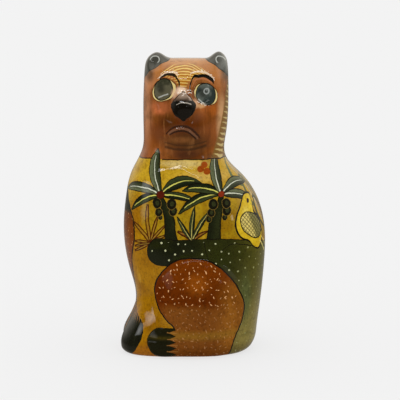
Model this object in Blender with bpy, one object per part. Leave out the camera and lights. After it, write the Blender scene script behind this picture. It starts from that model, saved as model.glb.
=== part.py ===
"""A seated cat in burnished, painted pottery: the body in profile, the head turned to the viewer.

The figurine is one hollow moulded piece, modelled here as the closed outer form. It is a loft of
rounded sections whose reach to the left, right, front and back follows smooth profiles, and the
larger relief (ears, muzzle, nose, brows, eyes, haunches, feet, tail) is swelled out of that form.

Frame: +Z up, origin on the ground under the middle of the figure. The face and the near flank look
along -Y, the chest looks along -X and the rump along +X.
"""
import bmesh
import bpy
import numpy as np

MM = 0.001

# Driving dimensions, in millimetres
HEAD_TOP = 290.8            # top of the skull between the ears
EAR_RISE = 9.6              # how far the ears stand above the skull
CROWN_START = 258.0         # height at which the skull begins to round over
BASE_ROUNDING = 6.0         # radius of the bottom edge
EARS_MIDDLE = -5.2          # midway between the ears, left to right
FACE_MIDDLE = -10.0         # the face is turned slightly towards the chest
EYES = ((-20.5, 264.5), (21.5, 260.0))      # across from the middle of the face, and height
NOSE_TOP = 251.5
NOSE_TIP = 230.5
NOSE_HALF_WIDTH = 12.5
NOSE_RISE = 5.5

# Profiles: (height, reach) in millimetres, each run through by one smooth curve
CHEST_SIDE = [(0, -68.5), (10, -70.0), (26, -66.6), (47, -58.6), (83, -64.3), (125, -69.8),
              (155, -67.2), (180, -61.0), (201, -50.9), (218, -49.4), (250, -49.5), (286, -47.8)]
RUMP_SIDE = [(0, 55.0), (10, 61.2), (22, 63.6), (49, 67.0), (87, 70.8), (115, 71.6), (141, 67.8),
             (161, 59.4), (176.5, 47.4), (188.5, 35.4), (201, 30.6), (216, 32.2), (236, 34.2), (286, 34.2)]
NEAR_DEPTH = [(0, 50), (26, 51), (66, 50), (106, 50), (140, 48), (170, 43), (197, 37.5), (230, 38.5),
              (263, 38)]
FAR_DEPTH = [(0, 50), (26, 51), (66, 50), (106, 50), (140, 48), (170, 44), (197, 40), (230, 42),
             (263, 42)]
CHEST_SQUARENESS = [(0, 4.4), (26, 3.6), (52, 2.8), (80, 2.5), (117, 2.4), (177, 2.25), (207, 2.3),
                    (263, 2.5)]
RUMP_SQUARENESS = [(0, 2.7), (57, 2.5), (117, 2.4), (177, 2.25), (207, 2.3), (263, 2.5)]

# Crown of the skull: how boxy it is seen from the front, and how round seen from the side
CROWN_BOX = 4.6
CROWN_ROUND = 2.7
CROWN_LAST = 0.997          # the last ring lies this far up the crown; a cap closes it

# Mesh fineness of the solid
COLUMNS = 36                # points on each of the near and far halves of a ring
BASE_ROWS = [0.0, 0.6, 1.9, 3.8, 6.2]
BODY_STEP = 7.5
NECK_HEIGHT = 194.0
FACE_STEP = 4.5
CROWN_ROWS = 14

CLAY = (0.36, 0.13, 0.04, 1.0)


def smooth_curve(stations):
    """A function of height that passes smoothly through (height, reach) stations: a cubic spline."""
    heights, reaches = np.array(stations, dtype=float).T
    gaps = np.diff(heights)
    slopes = np.diff(reaches) / gaps
    count = len(heights)
    system = np.eye(count)
    pull = np.zeros(count)
    for i in range(1, count - 1):
        system[i, i - 1:i + 2] = gaps[i - 1], 2 * (gaps[i - 1] + gaps[i]), gaps[i]
        pull[i] = 6 * (slopes[i] - slopes[i - 1])
    bends = np.linalg.solve(system, pull)

    def at(height):
        height = np.clip(height, heights[0], heights[-1])
        i = np.clip(np.searchsorted(heights, height, side="right") - 1, 0, count - 2)
        below = height - heights[i]
        rise = slopes[i] - gaps[i] * (2 * bends[i] + bends[i + 1]) / 6
        return reaches[i] + below * (rise + below * (bends[i] / 2
                                                      + below * (bends[i + 1] - bends[i]) / (6 * gaps[i])))

    return at


CHEST = smooth_curve(CHEST_SIDE)
RUMP = smooth_curve(RUMP_SIDE)
NEAR = smooth_curve(NEAR_DEPTH)
FAR = smooth_curve(FAR_DEPTH)
CHEST_SQUARE = smooth_curve(CHEST_SQUARENESS)
RUMP_SQUARE = smooth_curve(RUMP_SQUARENESS)


def ease(amount):
    """0 below zero, 1 above one, with a smooth start and stop between."""
    amount = np.clip(amount, 0, 1)
    return amount * amount * amount * (amount * (6 * amount - 15) + 10)


def mound(across, up, middle, reach, firmness=1.0):
    """A soft round swelling of height 1: higher firmness gives a flatter top and a steeper rim."""
    distance = ((across - middle[0]) / reach[0]) ** 2 + ((up - middle[1]) / reach[1]) ** 2
    return np.clip(1 - np.minimum(distance, 1) ** firmness, 0, None) ** 3


def roll(across, up, start, end, radius, firmness=1.0):
    """A swelling of height 1 along the line from start to end."""
    start = np.array(start, dtype=float)
    along = np.array(end, dtype=float) - start
    share = ((across - start[0]) * along[0] + (up - start[1]) * along[1]) / (along @ along)
    share = np.clip(share, 0, 1)
    distance = np.hypot(across - start[0] - share * along[0], up - start[1] - share * along[1])
    return np.clip(1 - np.minimum(distance / radius, 1) ** (2 * firmness), 0, None) ** 2


def ring(height, box_share=1.0, round_share=1.0, inset=0.0):
    """One section as (x, y) points: the near half from chest to rump, then the far half back again."""
    left, right = CHEST(height) + inset, RUMP(height) - inset
    middle = (left + right) / 2
    half_width = (right - left) / 2 * box_share
    angles = np.linspace(0, np.pi, 721)
    power = 2 / np.where(angles < np.pi / 2, CHEST_SQUARE(height), RUMP_SQUARE(height))
    sides = []
    for depth, way in ((NEAR(height) - inset, -1), (FAR(height) - inset, 1)):
        x = middle - half_width * np.sign(np.cos(angles)) * np.abs(np.cos(angles)) ** power
        y = way * depth * round_share * np.abs(np.sin(angles)) ** power
        run = np.concatenate([[0], np.cumsum(np.hypot(np.diff(x), np.diff(y)))])
        places = np.linspace(0, run[-1], COLUMNS + 1)
        sides.append((np.interp(places, run, x), np.interp(places, run, y)))
    near, far = sides
    x = np.concatenate([near[0][:-1], far[0][:0:-1]])
    y = np.concatenate([near[1][:-1], far[1][:0:-1]])
    return x, y


def plain_form():
    """The smooth form without relief: arrays of x, y and z, one row for each ring."""
    rows = []
    for height in BASE_ROWS:
        drop = max(BASE_ROUNDING - height, 0)
        inset = BASE_ROUNDING - np.sqrt(BASE_ROUNDING ** 2 - drop ** 2)
        rows.append((height, *ring(height, inset=inset)))
    for height in np.arange(BASE_ROWS[-1] + BODY_STEP / 2, NECK_HEIGHT, BODY_STEP):
        rows.append((height, *ring(height)))
    for height in np.arange(NECK_HEIGHT + FACE_STEP / 2, CROWN_START, FACE_STEP):
        rows.append((height, *ring(height)))
    crown = HEAD_TOP - CROWN_START
    for turn in np.linspace(0, np.arcsin(CROWN_LAST), CROWN_ROWS):
        climb = np.sin(turn)
        box_share = (1 - climb ** CROWN_BOX) ** (1 / CROWN_BOX)
        round_share = (1 - climb ** CROWN_ROUND) ** (1 / CROWN_ROUND)
        height = CROWN_START + crown * climb
        rows.append((height, *ring(height, box_share, round_share)))
    z = np.array([np.full(2 * COLUMNS, row[0]) for row in rows])
    x = np.array([row[1] for row in rows])
    y = np.array([row[2] for row in rows])
    return x, y, z


def raise_ears(x, y, z):
    """The two ears: the corners of the crown are drawn up, and their front is pressed hollow."""
    outward = np.abs(x - EARS_MIDDLE)
    corner = ease((outward - 15) / 19)
    thickness = np.exp(-np.abs((y + 5) / 15) ** 3)
    lift = EAR_RISE * corner * thickness * ease((z - 264) / 18)
    hollow = 5.5 * mound(outward, z + lift, (33, 285), (9, 12)) * (y < 0)
    return x, y + hollow, z + lift


def face_relief(x, z):
    """How far the face stands forward of the plain form, in millimetres."""
    across = x - FACE_MIDDLE
    muzzle = 9 * mound(across, z, (0, 226), (34, 36), 1.1)
    bridge = 3.0 * roll(across, z, (1, 250), (2, 274), 13)
    eyes = sum(2.4 * mound(across, z, middle, (12.5, 14)) for middle in EYES)
    sockets = sum(3.4 * mound(across, z, middle, (18, 20)) for middle in EYES)
    brows = sum(2.0 * roll(across, z, start, end, 9)
                for start, end in (((-30, 278), (-10, 281)), ((11, 279), (31, 273))))
    chin = 2.0 * mound(across, z, (0, 205), (24, 11))
    return muzzle + bridge + nose_relief(across, z) + eyes - sockets + brows + chin


def nose_relief(across, z):
    """The nose: highest along its flat top, its sides drawing in to a point, the bridge above it."""
    fall = np.clip((NOSE_TOP - z) / (NOSE_TOP - NOSE_TIP), 0, 1)
    climb = np.clip(z - NOSE_TOP, 0, None)
    half_width = np.maximum(NOSE_HALF_WIDTH * (1 - fall ** 2.2) ** 0.7 - 0.3 * climb, 1.0)
    across_share = np.clip(1 - np.abs(across / half_width) ** 3, 0, 1) ** 1.3
    height_share = (1 - fall ** 2) * (1 - ease(climb / 11))
    return NOSE_RISE * across_share * height_share


def flank_relief(x, z):
    """How far a flank stands out: the thigh, and the hollow between it and the foreleg."""
    thigh = 8.5 * mound(x, z, (6, 54), (50, 51), 2.2)
    waist = 2.0 * mound(x, z, (-46, 52), (14, 38))
    return thigh - waist


def foot_relief(x, z):
    """The long hind foot on the near side, thicker at its toes."""
    foot = 5.0 * roll(x, z, (-27, 15), (20, 14), 18, 1.5)
    toes = 6.0 * mound(x, z, (-32, 11), (23, 24), 1.3)
    return foot + toes


def tail_relief(x, z):
    """The tail, in low relief on the far flank: down from the rump, then forward along the ground."""
    course = ((62, 62), (50, 30), (20, 14), (-36, 12))
    lengths = [roll(x, z, start, end, 13, 1.2) for start, end in zip(course, course[1:])]
    return 6.0 * np.max(lengths, axis=0)


def front_leg_relief(y, z):
    """How far the forelegs and their paws stand out towards the chest side."""
    paws = sum(3.0 * mound(y, z, (middle, 8), (22, 32)) for middle in (-24, 24))
    cleft = 7.0 * mound(y, z, (0, 5), (10, 42)) + 2.2 * mound(y, z, (0, 40), (12, 80))
    return paws - cleft


def modelled_form():
    """The plain form with its relief swelled out, centred over the origin."""
    x, y, z = raise_ears(*plain_form())
    depth = np.where(y < 0, NEAR(z), FAR(z))
    facing = ease(np.abs(y) / depth * 1.6)
    near_side = np.where(y < 0, 1.0, 0.0)
    near = (face_relief(x, z) + flank_relief(x, z) + foot_relief(x, z)) * near_side
    far = (flank_relief(x, z) + tail_relief(x, z)) * (1 - near_side)
    forward = front_leg_relief(y, z) * ease((-x - 25) / 30)
    x = x - forward
    y = y + (far - near) * facing
    return x - (x.min() + x.max()) / 2, y - (y.min() + y.max()) / 2, z


def close_surface(x, y, z):
    """A closed mesh from the rings: quads between them, a flat underside and a capped crown."""
    rows, columns = x.shape
    form = bmesh.new()
    points = [[form.verts.new((x[i, j] * MM, y[i, j] * MM, z[i, j] * MM)) for j in range(columns)]
              for i in range(rows)]
    for lower, upper in zip(points, points[1:]):
        for j in range(columns):
            k = (j + 1) % columns
            form.faces.new((lower[j], lower[k], upper[k], upper[j]))
    form.faces.new(list(reversed(points[0])))
    crown = points[-1]
    half = columns // 2
    form.faces.new((crown[0], crown[1], crown[-1]))
    for j in range(1, half - 1):
        form.faces.new((crown[j], crown[j + 1], crown[-j - 1], crown[-j]))
    form.faces.new((crown[half - 1], crown[half], crown[half + 1]))
    mesh = bpy.data.meshes.new("cat_figurine")
    form.to_mesh(mesh)
    form.free()
    return mesh


def painted_clay():
    """Burnished terracotta: the ground colour of the painted piece."""
    material = bpy.data.materials.new("painted_clay")
    material.use_nodes = True
    shader = material.node_tree.nodes["Principled BSDF"]
    shader.inputs["Base Color"].default_value = CLAY
    shader.inputs["Roughness"].default_value = 0.25
    shader.inputs["Metallic"].default_value = 0.0
    return material


def build_figurine():
    for leftover in list(bpy.data.objects):
        bpy.data.objects.remove(leftover, do_unlink=True)
    collection = bpy.data.collections.new("pottery_cat_figurine")
    bpy.context.scene.collection.children.link(collection)
    mesh = close_surface(*modelled_form())
    mesh.materials.append(painted_clay())
    mesh.shade_smooth()
    mesh.set_sharp_from_angle(angle=np.radians(60))
    cat = bpy.data.objects.new("cat_figurine", mesh)
    collection.objects.link(cat)


build_figurine()
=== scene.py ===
# %% [markdown]
# # A painted pottery cat
# The real object is a seated cat of moulded, fired clay, burnished smooth, painted with coloured slips
# and glossed. The body is in profile, chest to the left, and the head is turned to look at us.
# The frame brings the packed model: one solid, standing on the ground at the middle of the scene.
# Everything below is built around it, in the same place and at the same size. The painting is worked
# out in millimetres, because that is how a potter would measure it, and MM turns those into metres.

# %% Load the frame
import math

import bpy
import numpy as np
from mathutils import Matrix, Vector


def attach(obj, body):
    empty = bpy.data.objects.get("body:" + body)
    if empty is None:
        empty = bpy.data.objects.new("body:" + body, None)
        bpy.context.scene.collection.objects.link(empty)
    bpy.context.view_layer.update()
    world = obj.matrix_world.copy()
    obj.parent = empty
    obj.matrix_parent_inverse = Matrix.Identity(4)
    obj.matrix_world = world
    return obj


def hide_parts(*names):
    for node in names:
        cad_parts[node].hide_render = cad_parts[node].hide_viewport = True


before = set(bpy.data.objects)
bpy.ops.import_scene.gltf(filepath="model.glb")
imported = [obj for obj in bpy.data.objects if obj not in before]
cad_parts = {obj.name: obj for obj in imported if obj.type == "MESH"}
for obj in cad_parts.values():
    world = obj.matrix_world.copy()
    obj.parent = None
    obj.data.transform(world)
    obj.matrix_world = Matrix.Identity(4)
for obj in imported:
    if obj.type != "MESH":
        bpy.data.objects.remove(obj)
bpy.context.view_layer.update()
MM = 0.001

# %% [markdown]
# ## The body as a stack of rings
# A moulded figure like this has no flat planes and no repeats, but it is close to a stack of rounded
# sections. So the body is a loft: at each height a ring says how far the clay reaches to the chest,
# the rump, the near side and the far side. Four profiles hold those reaches, and two more say how
# square the ring's corners are. A subdivision cage could give a similar form, but a loft gives every
# point of the surface a height and a place round the ring, which is just what the painter needs later.

# %% Heights and reaches, in millimetres
HEAD_TOP = 290.8            # the flat of the crown, between the ears
CROWN_START = 258.0         # where the head begins to close over
BASE_ROUNDING = 6.0         # the rounded edge that the cat stands on
EARS_MIDDLE = -5.2          # x, midway between the ears
FACE_MIDDLE = -10.0         # x of the nose: the head is turned a little

CHEST_SIDE = [(0, -68.5), (10, -70.0), (26, -66.6), (47, -58.6), (83, -64.3), (125, -69.8),
              (155, -67.2), (180, -61.0), (201, -50.9), (218, -49.4), (250, -49.5), (286, -47.8)]
RUMP_SIDE = [(0, 55.0), (10, 61.2), (22, 63.6), (49, 67.0), (87, 70.8), (115, 71.6), (141, 67.8),
             (161, 59.4), (176.5, 47.4), (188.5, 35.4), (201, 30.6), (216, 32.2), (236, 34.2), (286, 34.2)]
NEAR_DEPTH = [(0, 50), (26, 51), (66, 50), (106, 50), (140, 48), (170, 43), (197, 37.5), (230, 38.5),
              (263, 38)]
FAR_DEPTH = [(0, 50), (26, 51), (66, 50), (106, 50), (140, 48), (170, 44), (197, 40), (230, 42),
             (263, 42)]
CHEST_SQUARENESS = [(0, 4.4), (26, 3.6), (52, 2.8), (80, 2.5), (117, 2.4), (177, 2.25), (207, 2.3),
                    (263, 2.5)]
RUMP_SQUARENESS = [(0, 2.7), (57, 2.5), (117, 2.4), (177, 2.25), (207, 2.3), (263, 2.5)]
print("stations on the chest and rump:", len(CHEST_SIDE), len(RUMP_SIDE))


# %% A smooth curve
def smooth_curve(stations):
    """A function of height that runs smoothly through (height, reach) stations: a cubic spline."""
    heights, reaches = np.array(stations, dtype=float).T
    gaps = np.diff(heights)
    slopes = np.diff(reaches) / gaps
    count = len(heights)
    system = np.eye(count)
    pull = np.zeros(count)
    for i in range(1, count - 1):
        system[i, i - 1:i + 2] = gaps[i - 1], 2 * (gaps[i - 1] + gaps[i]), gaps[i]
        pull[i] = 6 * (slopes[i] - slopes[i - 1])
    bends = np.linalg.solve(system, pull)

    def at(height):
        height = np.clip(height, heights[0], heights[-1])
        i = np.clip(np.searchsorted(heights, height, side="right") - 1, 0, count - 2)
        below = height - heights[i]
        rise = slopes[i] - gaps[i] * (2 * bends[i] + bends[i + 1]) / 6
        turn = (bends[i + 1] - bends[i]) / (6 * gaps[i])
        return reaches[i] + below * (rise + below * (bends[i] / 2 + below * turn))

    return at


print("halfway up, the chest is at, mm:", round(float(smooth_curve(CHEST_SIDE)(HEAD_TOP / 2)), 1))

# %% The six profiles
chest = smooth_curve(CHEST_SIDE)
rump = smooth_curve(RUMP_SIDE)
near_depth = smooth_curve(NEAR_DEPTH)
far_depth = smooth_curve(FAR_DEPTH)
chest_square = smooth_curve(CHEST_SQUARENESS)
rump_square = smooth_curve(RUMP_SQUARENESS)
print("widest, mm:", round(float((rump(np.arange(120)) - chest(np.arange(120))).max()), 1))

# %% [markdown]
# ## One ring
# A ring is a superellipse: a circle's formula with a power that makes its corners fuller. Its points
# are spaced evenly along the clay, not by angle, so that no face comes out long and thin. The run of
# each point from the middle of its side is kept: it is the painter's tape measure round the body.

# %% Half a ring
NEAR_COLUMNS = 220
FAR_COLUMNS = 120
FINE_ANGLES = np.linspace(0, np.pi, 1441)


def half_ring(height, depth, columns, box_share=1.0, round_share=1.0, inset=0.0):
    """One side of a section, from chest to rump: x, depth, and the run from the side's middle."""
    left, right = chest(height) + inset, rump(height) - inset
    middle = (left + right) / 2
    half_width = (right - left) / 2 * box_share
    power = 2 / np.where(FINE_ANGLES < np.pi / 2, chest_square(height), rump_square(height))
    cosine, sine = np.cos(FINE_ANGLES), np.sin(FINE_ANGLES)
    x = middle - half_width * np.sign(cosine) * np.abs(cosine) ** power
    y = (depth(height) - inset) * round_share * np.abs(sine) ** power
    run = np.concatenate([[0], np.cumsum(np.hypot(np.diff(x), np.diff(y)))])
    places = np.linspace(0, run[-1], columns + 1)
    middle_run = run[len(run) // 2]
    return np.interp(places, run, x), np.interp(places, run, y), places - middle_run + middle


foot_run = half_ring(0, near_depth, NEAR_COLUMNS)[2]
print("tape along the near side of the foot, mm:", round(float(foot_run[-1] - foot_run[0]), 1))

# %% The heights of the rings
FOOT_RINGS = 11
BODY_RINGS = 229
CROWN_RINGS = 42
CROWN_BOX = 4.6             # how square the crown is from the front
CROWN_ROUND = 2.7           # and how round it is from front to back
CROWN_FULL = 0.9999         # the last ring stops just short of a point


def ring_heights():
    """Every ring as (height, box_share, round_share, inset), from the foot to the crown."""
    rings = []
    for turn in np.linspace(0, np.pi / 2, FOOT_RINGS):
        drop = BASE_ROUNDING * (1 - np.sin(turn))
        inset = BASE_ROUNDING - math.sqrt(BASE_ROUNDING ** 2 - drop ** 2)
        rings.append((BASE_ROUNDING - drop, 1.0, 1.0, inset))
    for height in np.linspace(BASE_ROUNDING, CROWN_START, BODY_RINGS)[1:-1]:
        rings.append((height, 1.0, 1.0, 0.0))
    for turn in np.linspace(0, np.arcsin(CROWN_FULL), CROWN_RINGS):
        climb = np.sin(turn)
        box_share = (1 - climb ** CROWN_BOX) ** (1 / CROWN_BOX)
        round_share = (1 - climb ** CROWN_ROUND) ** (1 / CROWN_ROUND)
        rings.append((CROWN_START + (HEAD_TOP - CROWN_START) * climb, box_share, round_share, 0.0))
    return rings


print("the highest ring is at, mm:", round(float(ring_heights()[-1][0]), 2))


# %% The grid of rings
def ring_grid():
    """All rings as arrays x, y, z, and the two tapes: the run measured from the near and far sides."""
    rows = []
    for height, box_share, round_share, inset in ring_heights():
        near = half_ring(height, near_depth, NEAR_COLUMNS, box_share, round_share, inset)
        far = half_ring(height, far_depth, FAR_COLUMNS, box_share, round_share, inset)
        x = np.concatenate([near[0][:-1], far[0][:0:-1]])
        y = np.concatenate([-near[1][:-1], far[1][:0:-1]])
        rows.append((x, y, np.full(len(x), height), near[2], far[2]))
    return [np.array(part) for part in zip(*rows)]


x, y, z, near_run, far_run = ring_grid()
print("rings:", len(x), "points in each:", x.shape[1])


# %% [markdown]
# ## Relief pressed by the mould
# The ears, muzzle, nose, brows, eyes, thighs, feet and tail swell out of the plain form, as they do
# when clay is pressed into a mould. Each is a soft mound or a roll of clay along a line, added in the
# direction that its side faces. Sculpting by hand would be free but could not be repeated; sums of
# mounds can be tuned one number at a time.

# %% Mounds and rolls
def ease(amount):
    """0 below zero, 1 above one, with a smooth start and stop between."""
    amount = np.clip(amount, 0, 1)
    return amount ** 3 * (amount * (6 * amount - 15) + 10)


def mound(across, up, middle, reach, firmness=1.0):
    """A soft round swelling of height 1: higher firmness gives a flatter top and a steeper rim."""
    distance = ((across - middle[0]) / reach[0]) ** 2 + ((up - middle[1]) / reach[1]) ** 2
    return np.clip(1 - np.minimum(distance, 1) ** firmness, 0, None) ** 3


def roll(across, up, start, end, radius, firmness=1.0):
    """A swelling of height 1 along the line from start to end."""
    start = np.array(start, dtype=float)
    along = np.array(end, dtype=float) - start
    share = ((across - start[0]) * along[0] + (up - start[1]) * along[1]) / (along @ along)
    share = np.clip(share, 0, 1)
    distance = np.hypot(across - start[0] - share * along[0], up - start[1] - share * along[1])
    return np.clip(1 - np.minimum(distance / radius, 1) ** (2 * firmness), 0, None) ** 2


def course(across, up, points, radius, firmness=1.0):
    """A roll that follows several points in turn."""
    lengths = [roll(across, up, start, end, radius, firmness) for start, end in zip(points, points[1:])]
    return np.max(lengths, axis=0)


print("a mound at its middle, halfway out and at its rim:",
      [round(float(mound(away, 0, (0, 0), (1, 1))), 2) for away in (0, 0.5, 1)])

# %% [markdown]
# ## The head in relief
# The face is pressed into the front of the head: a muzzle, a wedge of a nose with a bridge above it,
# eyes that bulge a little in their sockets, brows and a chin. The ears aren't added on. They are the
# crown's own corners drawn up, which keeps the clay in one skin, as a mould does.

# %% Ears
def raise_ears(x, y, z):
    """The two ears: the corners of the crown are drawn up, and their front is pressed hollow."""
    outward = np.abs(x - EARS_MIDDLE)
    corner = ease((outward - 15) / 19)
    thickness = np.exp(-np.abs((y + 5) / 15) ** 3)
    lift = np.where(x < EARS_MIDDLE, 7.8, 9.6) * corner * thickness * ease((z - 264) / 18)
    hollow = 5.5 * mound(outward, z + lift, (33, 285), (9, 12)) * (y < 0)
    return x, y + hollow, z + lift


x, y, z = raise_ears(x, y, z)
print("ear tips at, mm:", round(float(z.max()), 1))

# %% Nose and face
EYES = ((-20.5, 264.5), (21.5, 260.0))
NOSE_TOP = 251.5
NOSE_TIP = 230.5


def nose_relief(across, z):
    """The nose: highest along its flat top, its sides drawing in to a point, the bridge above it."""
    fall = np.clip((NOSE_TOP - z) / (NOSE_TOP - NOSE_TIP), 0, 1)
    climb = np.clip(z - NOSE_TOP, 0, None)
    half_width = np.maximum(12.5 * (1 - fall ** 2.2) ** 0.7 - 0.3 * climb, 1.0)
    across_share = np.clip(1 - np.abs(across / half_width) ** 3, 0, 1) ** 1.3
    return 5.5 * across_share * (1 - fall ** 2) * (1 - ease(climb / 11))


def face_relief(x, z):
    """How far the face stands forward of the plain form."""
    across = x - FACE_MIDDLE
    muzzle = 9 * mound(across, z, (0, 226), (34, 36), 1.1)
    bridge = 3.0 * roll(across, z, (1, 250), (2, 274), 13)
    eyes = sum(2.4 * mound(across, z, middle, (12.5, 14)) for middle in EYES)
    sockets = sum(3.4 * mound(across, z, middle, (18, 20)) for middle in EYES)
    brows = 2.0 * (roll(across, z, (-30, 278), (-10, 281), 9) + roll(across, z, (11, 279), (31, 273), 9))
    chin = 2.0 * mound(across, z, (0, 205), (24, 11))
    return muzzle + bridge + nose_relief(across, z) + eyes - sockets + brows + chin


print("the face comes forward by, mm:", round(float(face_relief(x, z).max()), 1))

# %% [markdown]
# ## Thighs, feet and tail
# Seated like this, a cat shows a round thigh, the long hind foot that runs forward from under it, and
# two forelegs side by side below the chest. The tail is out of sight, so it is given the place where a
# potter would press it: low round the base of the far flank.

# %% Thigh, feet and tail
TAIL = ((62, 62), (50, 30), (20, 14), (-36, 12))


def flank_relief(x, z):
    """The thigh, and the hollow between it and the foreleg."""
    return 8.5 * mound(x, z, (6, 54), (50, 51), 2.2) - 2.0 * mound(x, z, (-46, 52), (14, 38))


def foot_relief(x, z):
    """The long hind foot on the near side, thicker at its toes."""
    return 4.5 * roll(x, z, (-27, 15), (20, 14), 18, 1.5) + 1.2 * mound(x, z, (-32, 11), (23, 24), 1.3)


def tail_relief(x, z):
    """The tail, in low relief on the far flank: down from the rump, then forward along the ground."""
    return 6.0 * course(x, z, TAIL, 13, 1.2)


def front_leg_relief(y, z):
    """How far the forelegs and their paws stand out towards the chest side."""
    paws = sum(3.0 * mound(y, z, (middle, 8), (22, 32)) for middle in (-24, 24))
    cleft = 7.0 * mound(y, z, (0, 5), (10, 42)) + 2.2 * mound(y, z, (0, 40), (12, 80))
    return paws - cleft


print("the thigh swells by, mm:", round(float(flank_relief(x, z).max()), 1))

# %% [markdown]
# ## Carving after the mould
# A potter sharpens a pressing with a wooden tool: the mouth, the rims of the eyes, the crease round the
# thigh. These cuts are under a millimetre deep, so only this fine mesh can carry them. A slow ripple of
# a fifth of a millimetre stands for the hand that burnished it: a perfect surface looks like plastic.

# %% Tool marks
MOUTH = ((-18, 219), (-11, 225.5), (-1, 227.5), (8, 224), (14, 217))
THIGH_MIDDLE = (6, 52)


def crease(across, up, middle, reach, width):
    """A line of height 1 round an oval; width is a share of the oval's size."""
    away = np.hypot((across - middle[0]) / reach[0], (up - middle[1]) / reach[1])
    return np.exp(-((away - 1) / width) ** 2)


def tool_marks(x, z):
    """Cuts and ridges on the near side, in millimetres outwards."""
    across = x - FACE_MIDDLE
    lip = 0.5 * course(across, z, [(side, up - 3) for side, up in MOUTH], 4)
    mouth = lip - 0.9 * course(across, z, MOUTH, 2.2)
    eyes = -0.5 * sum(crease(across, z, middle, (11.5, 13), 0.12) for middle in EYES)
    thigh = -0.5 * crease(x, z, THIGH_MIDDLE, (45, 47), 0.03) * ease((z - 34) / 10)
    toes = -0.6 * sum(roll(x, z, (-44, level), (-26, level + 1), 2.0) for level in (9.5, 17.5))
    return mouth + eyes + thigh + toes


print("deepest cut, mm:", round(float(tool_marks(x, z).min()), 2))


# %% Chest shelf and burnishing
def chest_shelf(x, z):
    """The slight shelf where the chest comes forward below the neck, higher in the middle."""
    level = np.interp(x, (-50, -22, -13, 8, 40), (181, 185.5, 187.5, 179.5, 172))
    return 0.9 * ease((level + 4 - z) / 8) * ease((z - 140) / 30)


def hand_ripple(run, z):
    """The unevenness that burnishing by hand leaves."""
    slow = np.sin(run / 11 + 1.3 * np.sin(z / 17)) * np.sin(z / 13 + 0.8 * np.sin(run / 23))
    quick = np.sin(run / 4.7 + z / 9.1) * np.sin(z / 5.3 - run / 12.7)
    return 0.16 * slow + 0.04 * quick


print("deepest ripple, mm:", round(float(hand_ripple(near_run, z[:, :NEAR_COLUMNS + 1]).min()), 2))

# %% Add the relief to the rings
on_near = y < 0
depth = np.where(on_near, near_depth(z), far_depth(z))
facing = ease(np.abs(y) / depth * 1.6)
near_parts = (face_relief, flank_relief, foot_relief, tool_marks, chest_shelf)
near_relief = sum(relief(x, z) for relief in near_parts)
far_relief = flank_relief(x, z) + tail_relief(x, z)
whole_run = np.concatenate([near_run[:, :-1], far_run[:, :0:-1]], axis=1)
ripple = hand_ripple(whole_run, z) * ease(z / 12) * ease((HEAD_TOP - z) / 12)
forward = front_leg_relief(y, z) * ease((-x - 25) / 30)
y = y + (np.where(on_near, 0, far_relief) - np.where(on_near, near_relief, 0)) * facing
y = y + ripple * np.sign(y) * facing
x = x - forward
x = x - (x.min() + x.max()) / 2
y = y - (y.min() + y.max()) / 2
print("size, mm:", round(np.ptp(x), 1), round(np.ptp(y), 1), round(z.max(), 1))

# %% [markdown]
# ## The painter's two tapes
# Paint runs round the body without minding where the mould's halves met, so every corner of every face
# is given its place on a flat sheet: how far along the tape, and how high. One tape starts in the
# middle of the near side and one in the middle of the far side, and each is torn only where the other
# starts. Corners hold these better than points do, because a torn edge needs two values at one point.
# A third flat layout, OFBake, is for baking the finish to a picture, and gives the near side more room.

# %% Tapes
far_back = far_run[:, ::-1]
tear_near = NEAR_COLUMNS // 2
tear_far = FAR_COLUMNS // 2
past_rump = near_run[:, -1:] + far_back[:, :1] - far_back[:, :tear_far + 1]
before_chest = near_run[:, :1] - (far_back[:, tear_far:] - far_back[:, -1:])
NEAR_TAPE = (near_run, past_rump, before_chest)
chest_way = far_run[:, :1] - (near_run[:, :tear_near + 1] - near_run[:, :1])
rump_way = far_run[:, -1:] + near_run[:, -1:] - near_run[:, tear_near:]
FAR_TAPE = (chest_way, rump_way, far_back)
print("near tape at its longest, mm:", round(float(np.ptp(near_run, axis=1).max()), 1))


# %% Values at the corners
def at_corners(stretches):
    """Values at the four corners of every face, from stretches of columns that end where they tear."""
    stretches = [np.broadcast_to(part, (len(z), np.shape(part)[-1])) for part in stretches]
    left = np.concatenate([part[:, :-1] for part in stretches], axis=1)
    right = np.concatenate([part[:, 1:] for part in stretches], axis=1)
    return np.stack([left[:-1], right[:-1], right[1:], left[1:]], axis=-1)


def round_the_ring(values):
    """The same for values that don't tear, such as height."""
    return at_corners([np.concatenate([values, values[:, :1]], axis=1)])


print("faces with four corners:", len(round_the_ring(z).reshape(-1, 4)))


# %% A mesh of the rings
def build_mesh():
    """Quads between the rings, and one flat face each for the foot and the crown."""
    rows, columns = z.shape
    points = np.stack([x, y, z], axis=-1).reshape(-1, 3) * MM
    lower = np.arange((rows - 1) * columns).reshape(rows - 1, columns)
    beside = np.roll(lower, -1, axis=1)
    quads = np.stack([lower, beside, beside + columns, lower + columns], axis=-1).reshape(-1, 4)
    foot = list(range(columns - 1, -1, -1))
    crown = list(range((rows - 1) * columns, rows * columns))
    mesh = bpy.data.meshes.new("painted_cat")
    mesh.from_pydata(points.tolist(), [], quads.tolist() + [foot, crown])
    mesh.shade_smooth()
    return mesh


mesh = build_mesh()
print("faces:", len(mesh.polygons), "triangles:", sum(len(face.vertices) - 2 for face in mesh.polygons))


# %% The tapes on the mesh
def add_tape(mesh, name, stretches, third, third_on_crown):
    """A corner attribute in millimetres: the place on a tape, the height, and one number more."""
    sheet = np.stack([at_corners(stretches), round_the_ring(z), round_the_ring(third)], axis=-1)
    caps = [(0.0, -BASE_ROUNDING, 0.0), (EARS_MIDDLE, HEAD_TOP, third_on_crown)]
    caps = np.repeat(caps, z.shape[1], axis=0)
    places = mesh.attributes.new(name, "FLOAT_VECTOR", "CORNER")
    places.data.foreach_set("vector", np.concatenate([sheet.reshape(-1, 3), caps]).ravel())


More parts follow.
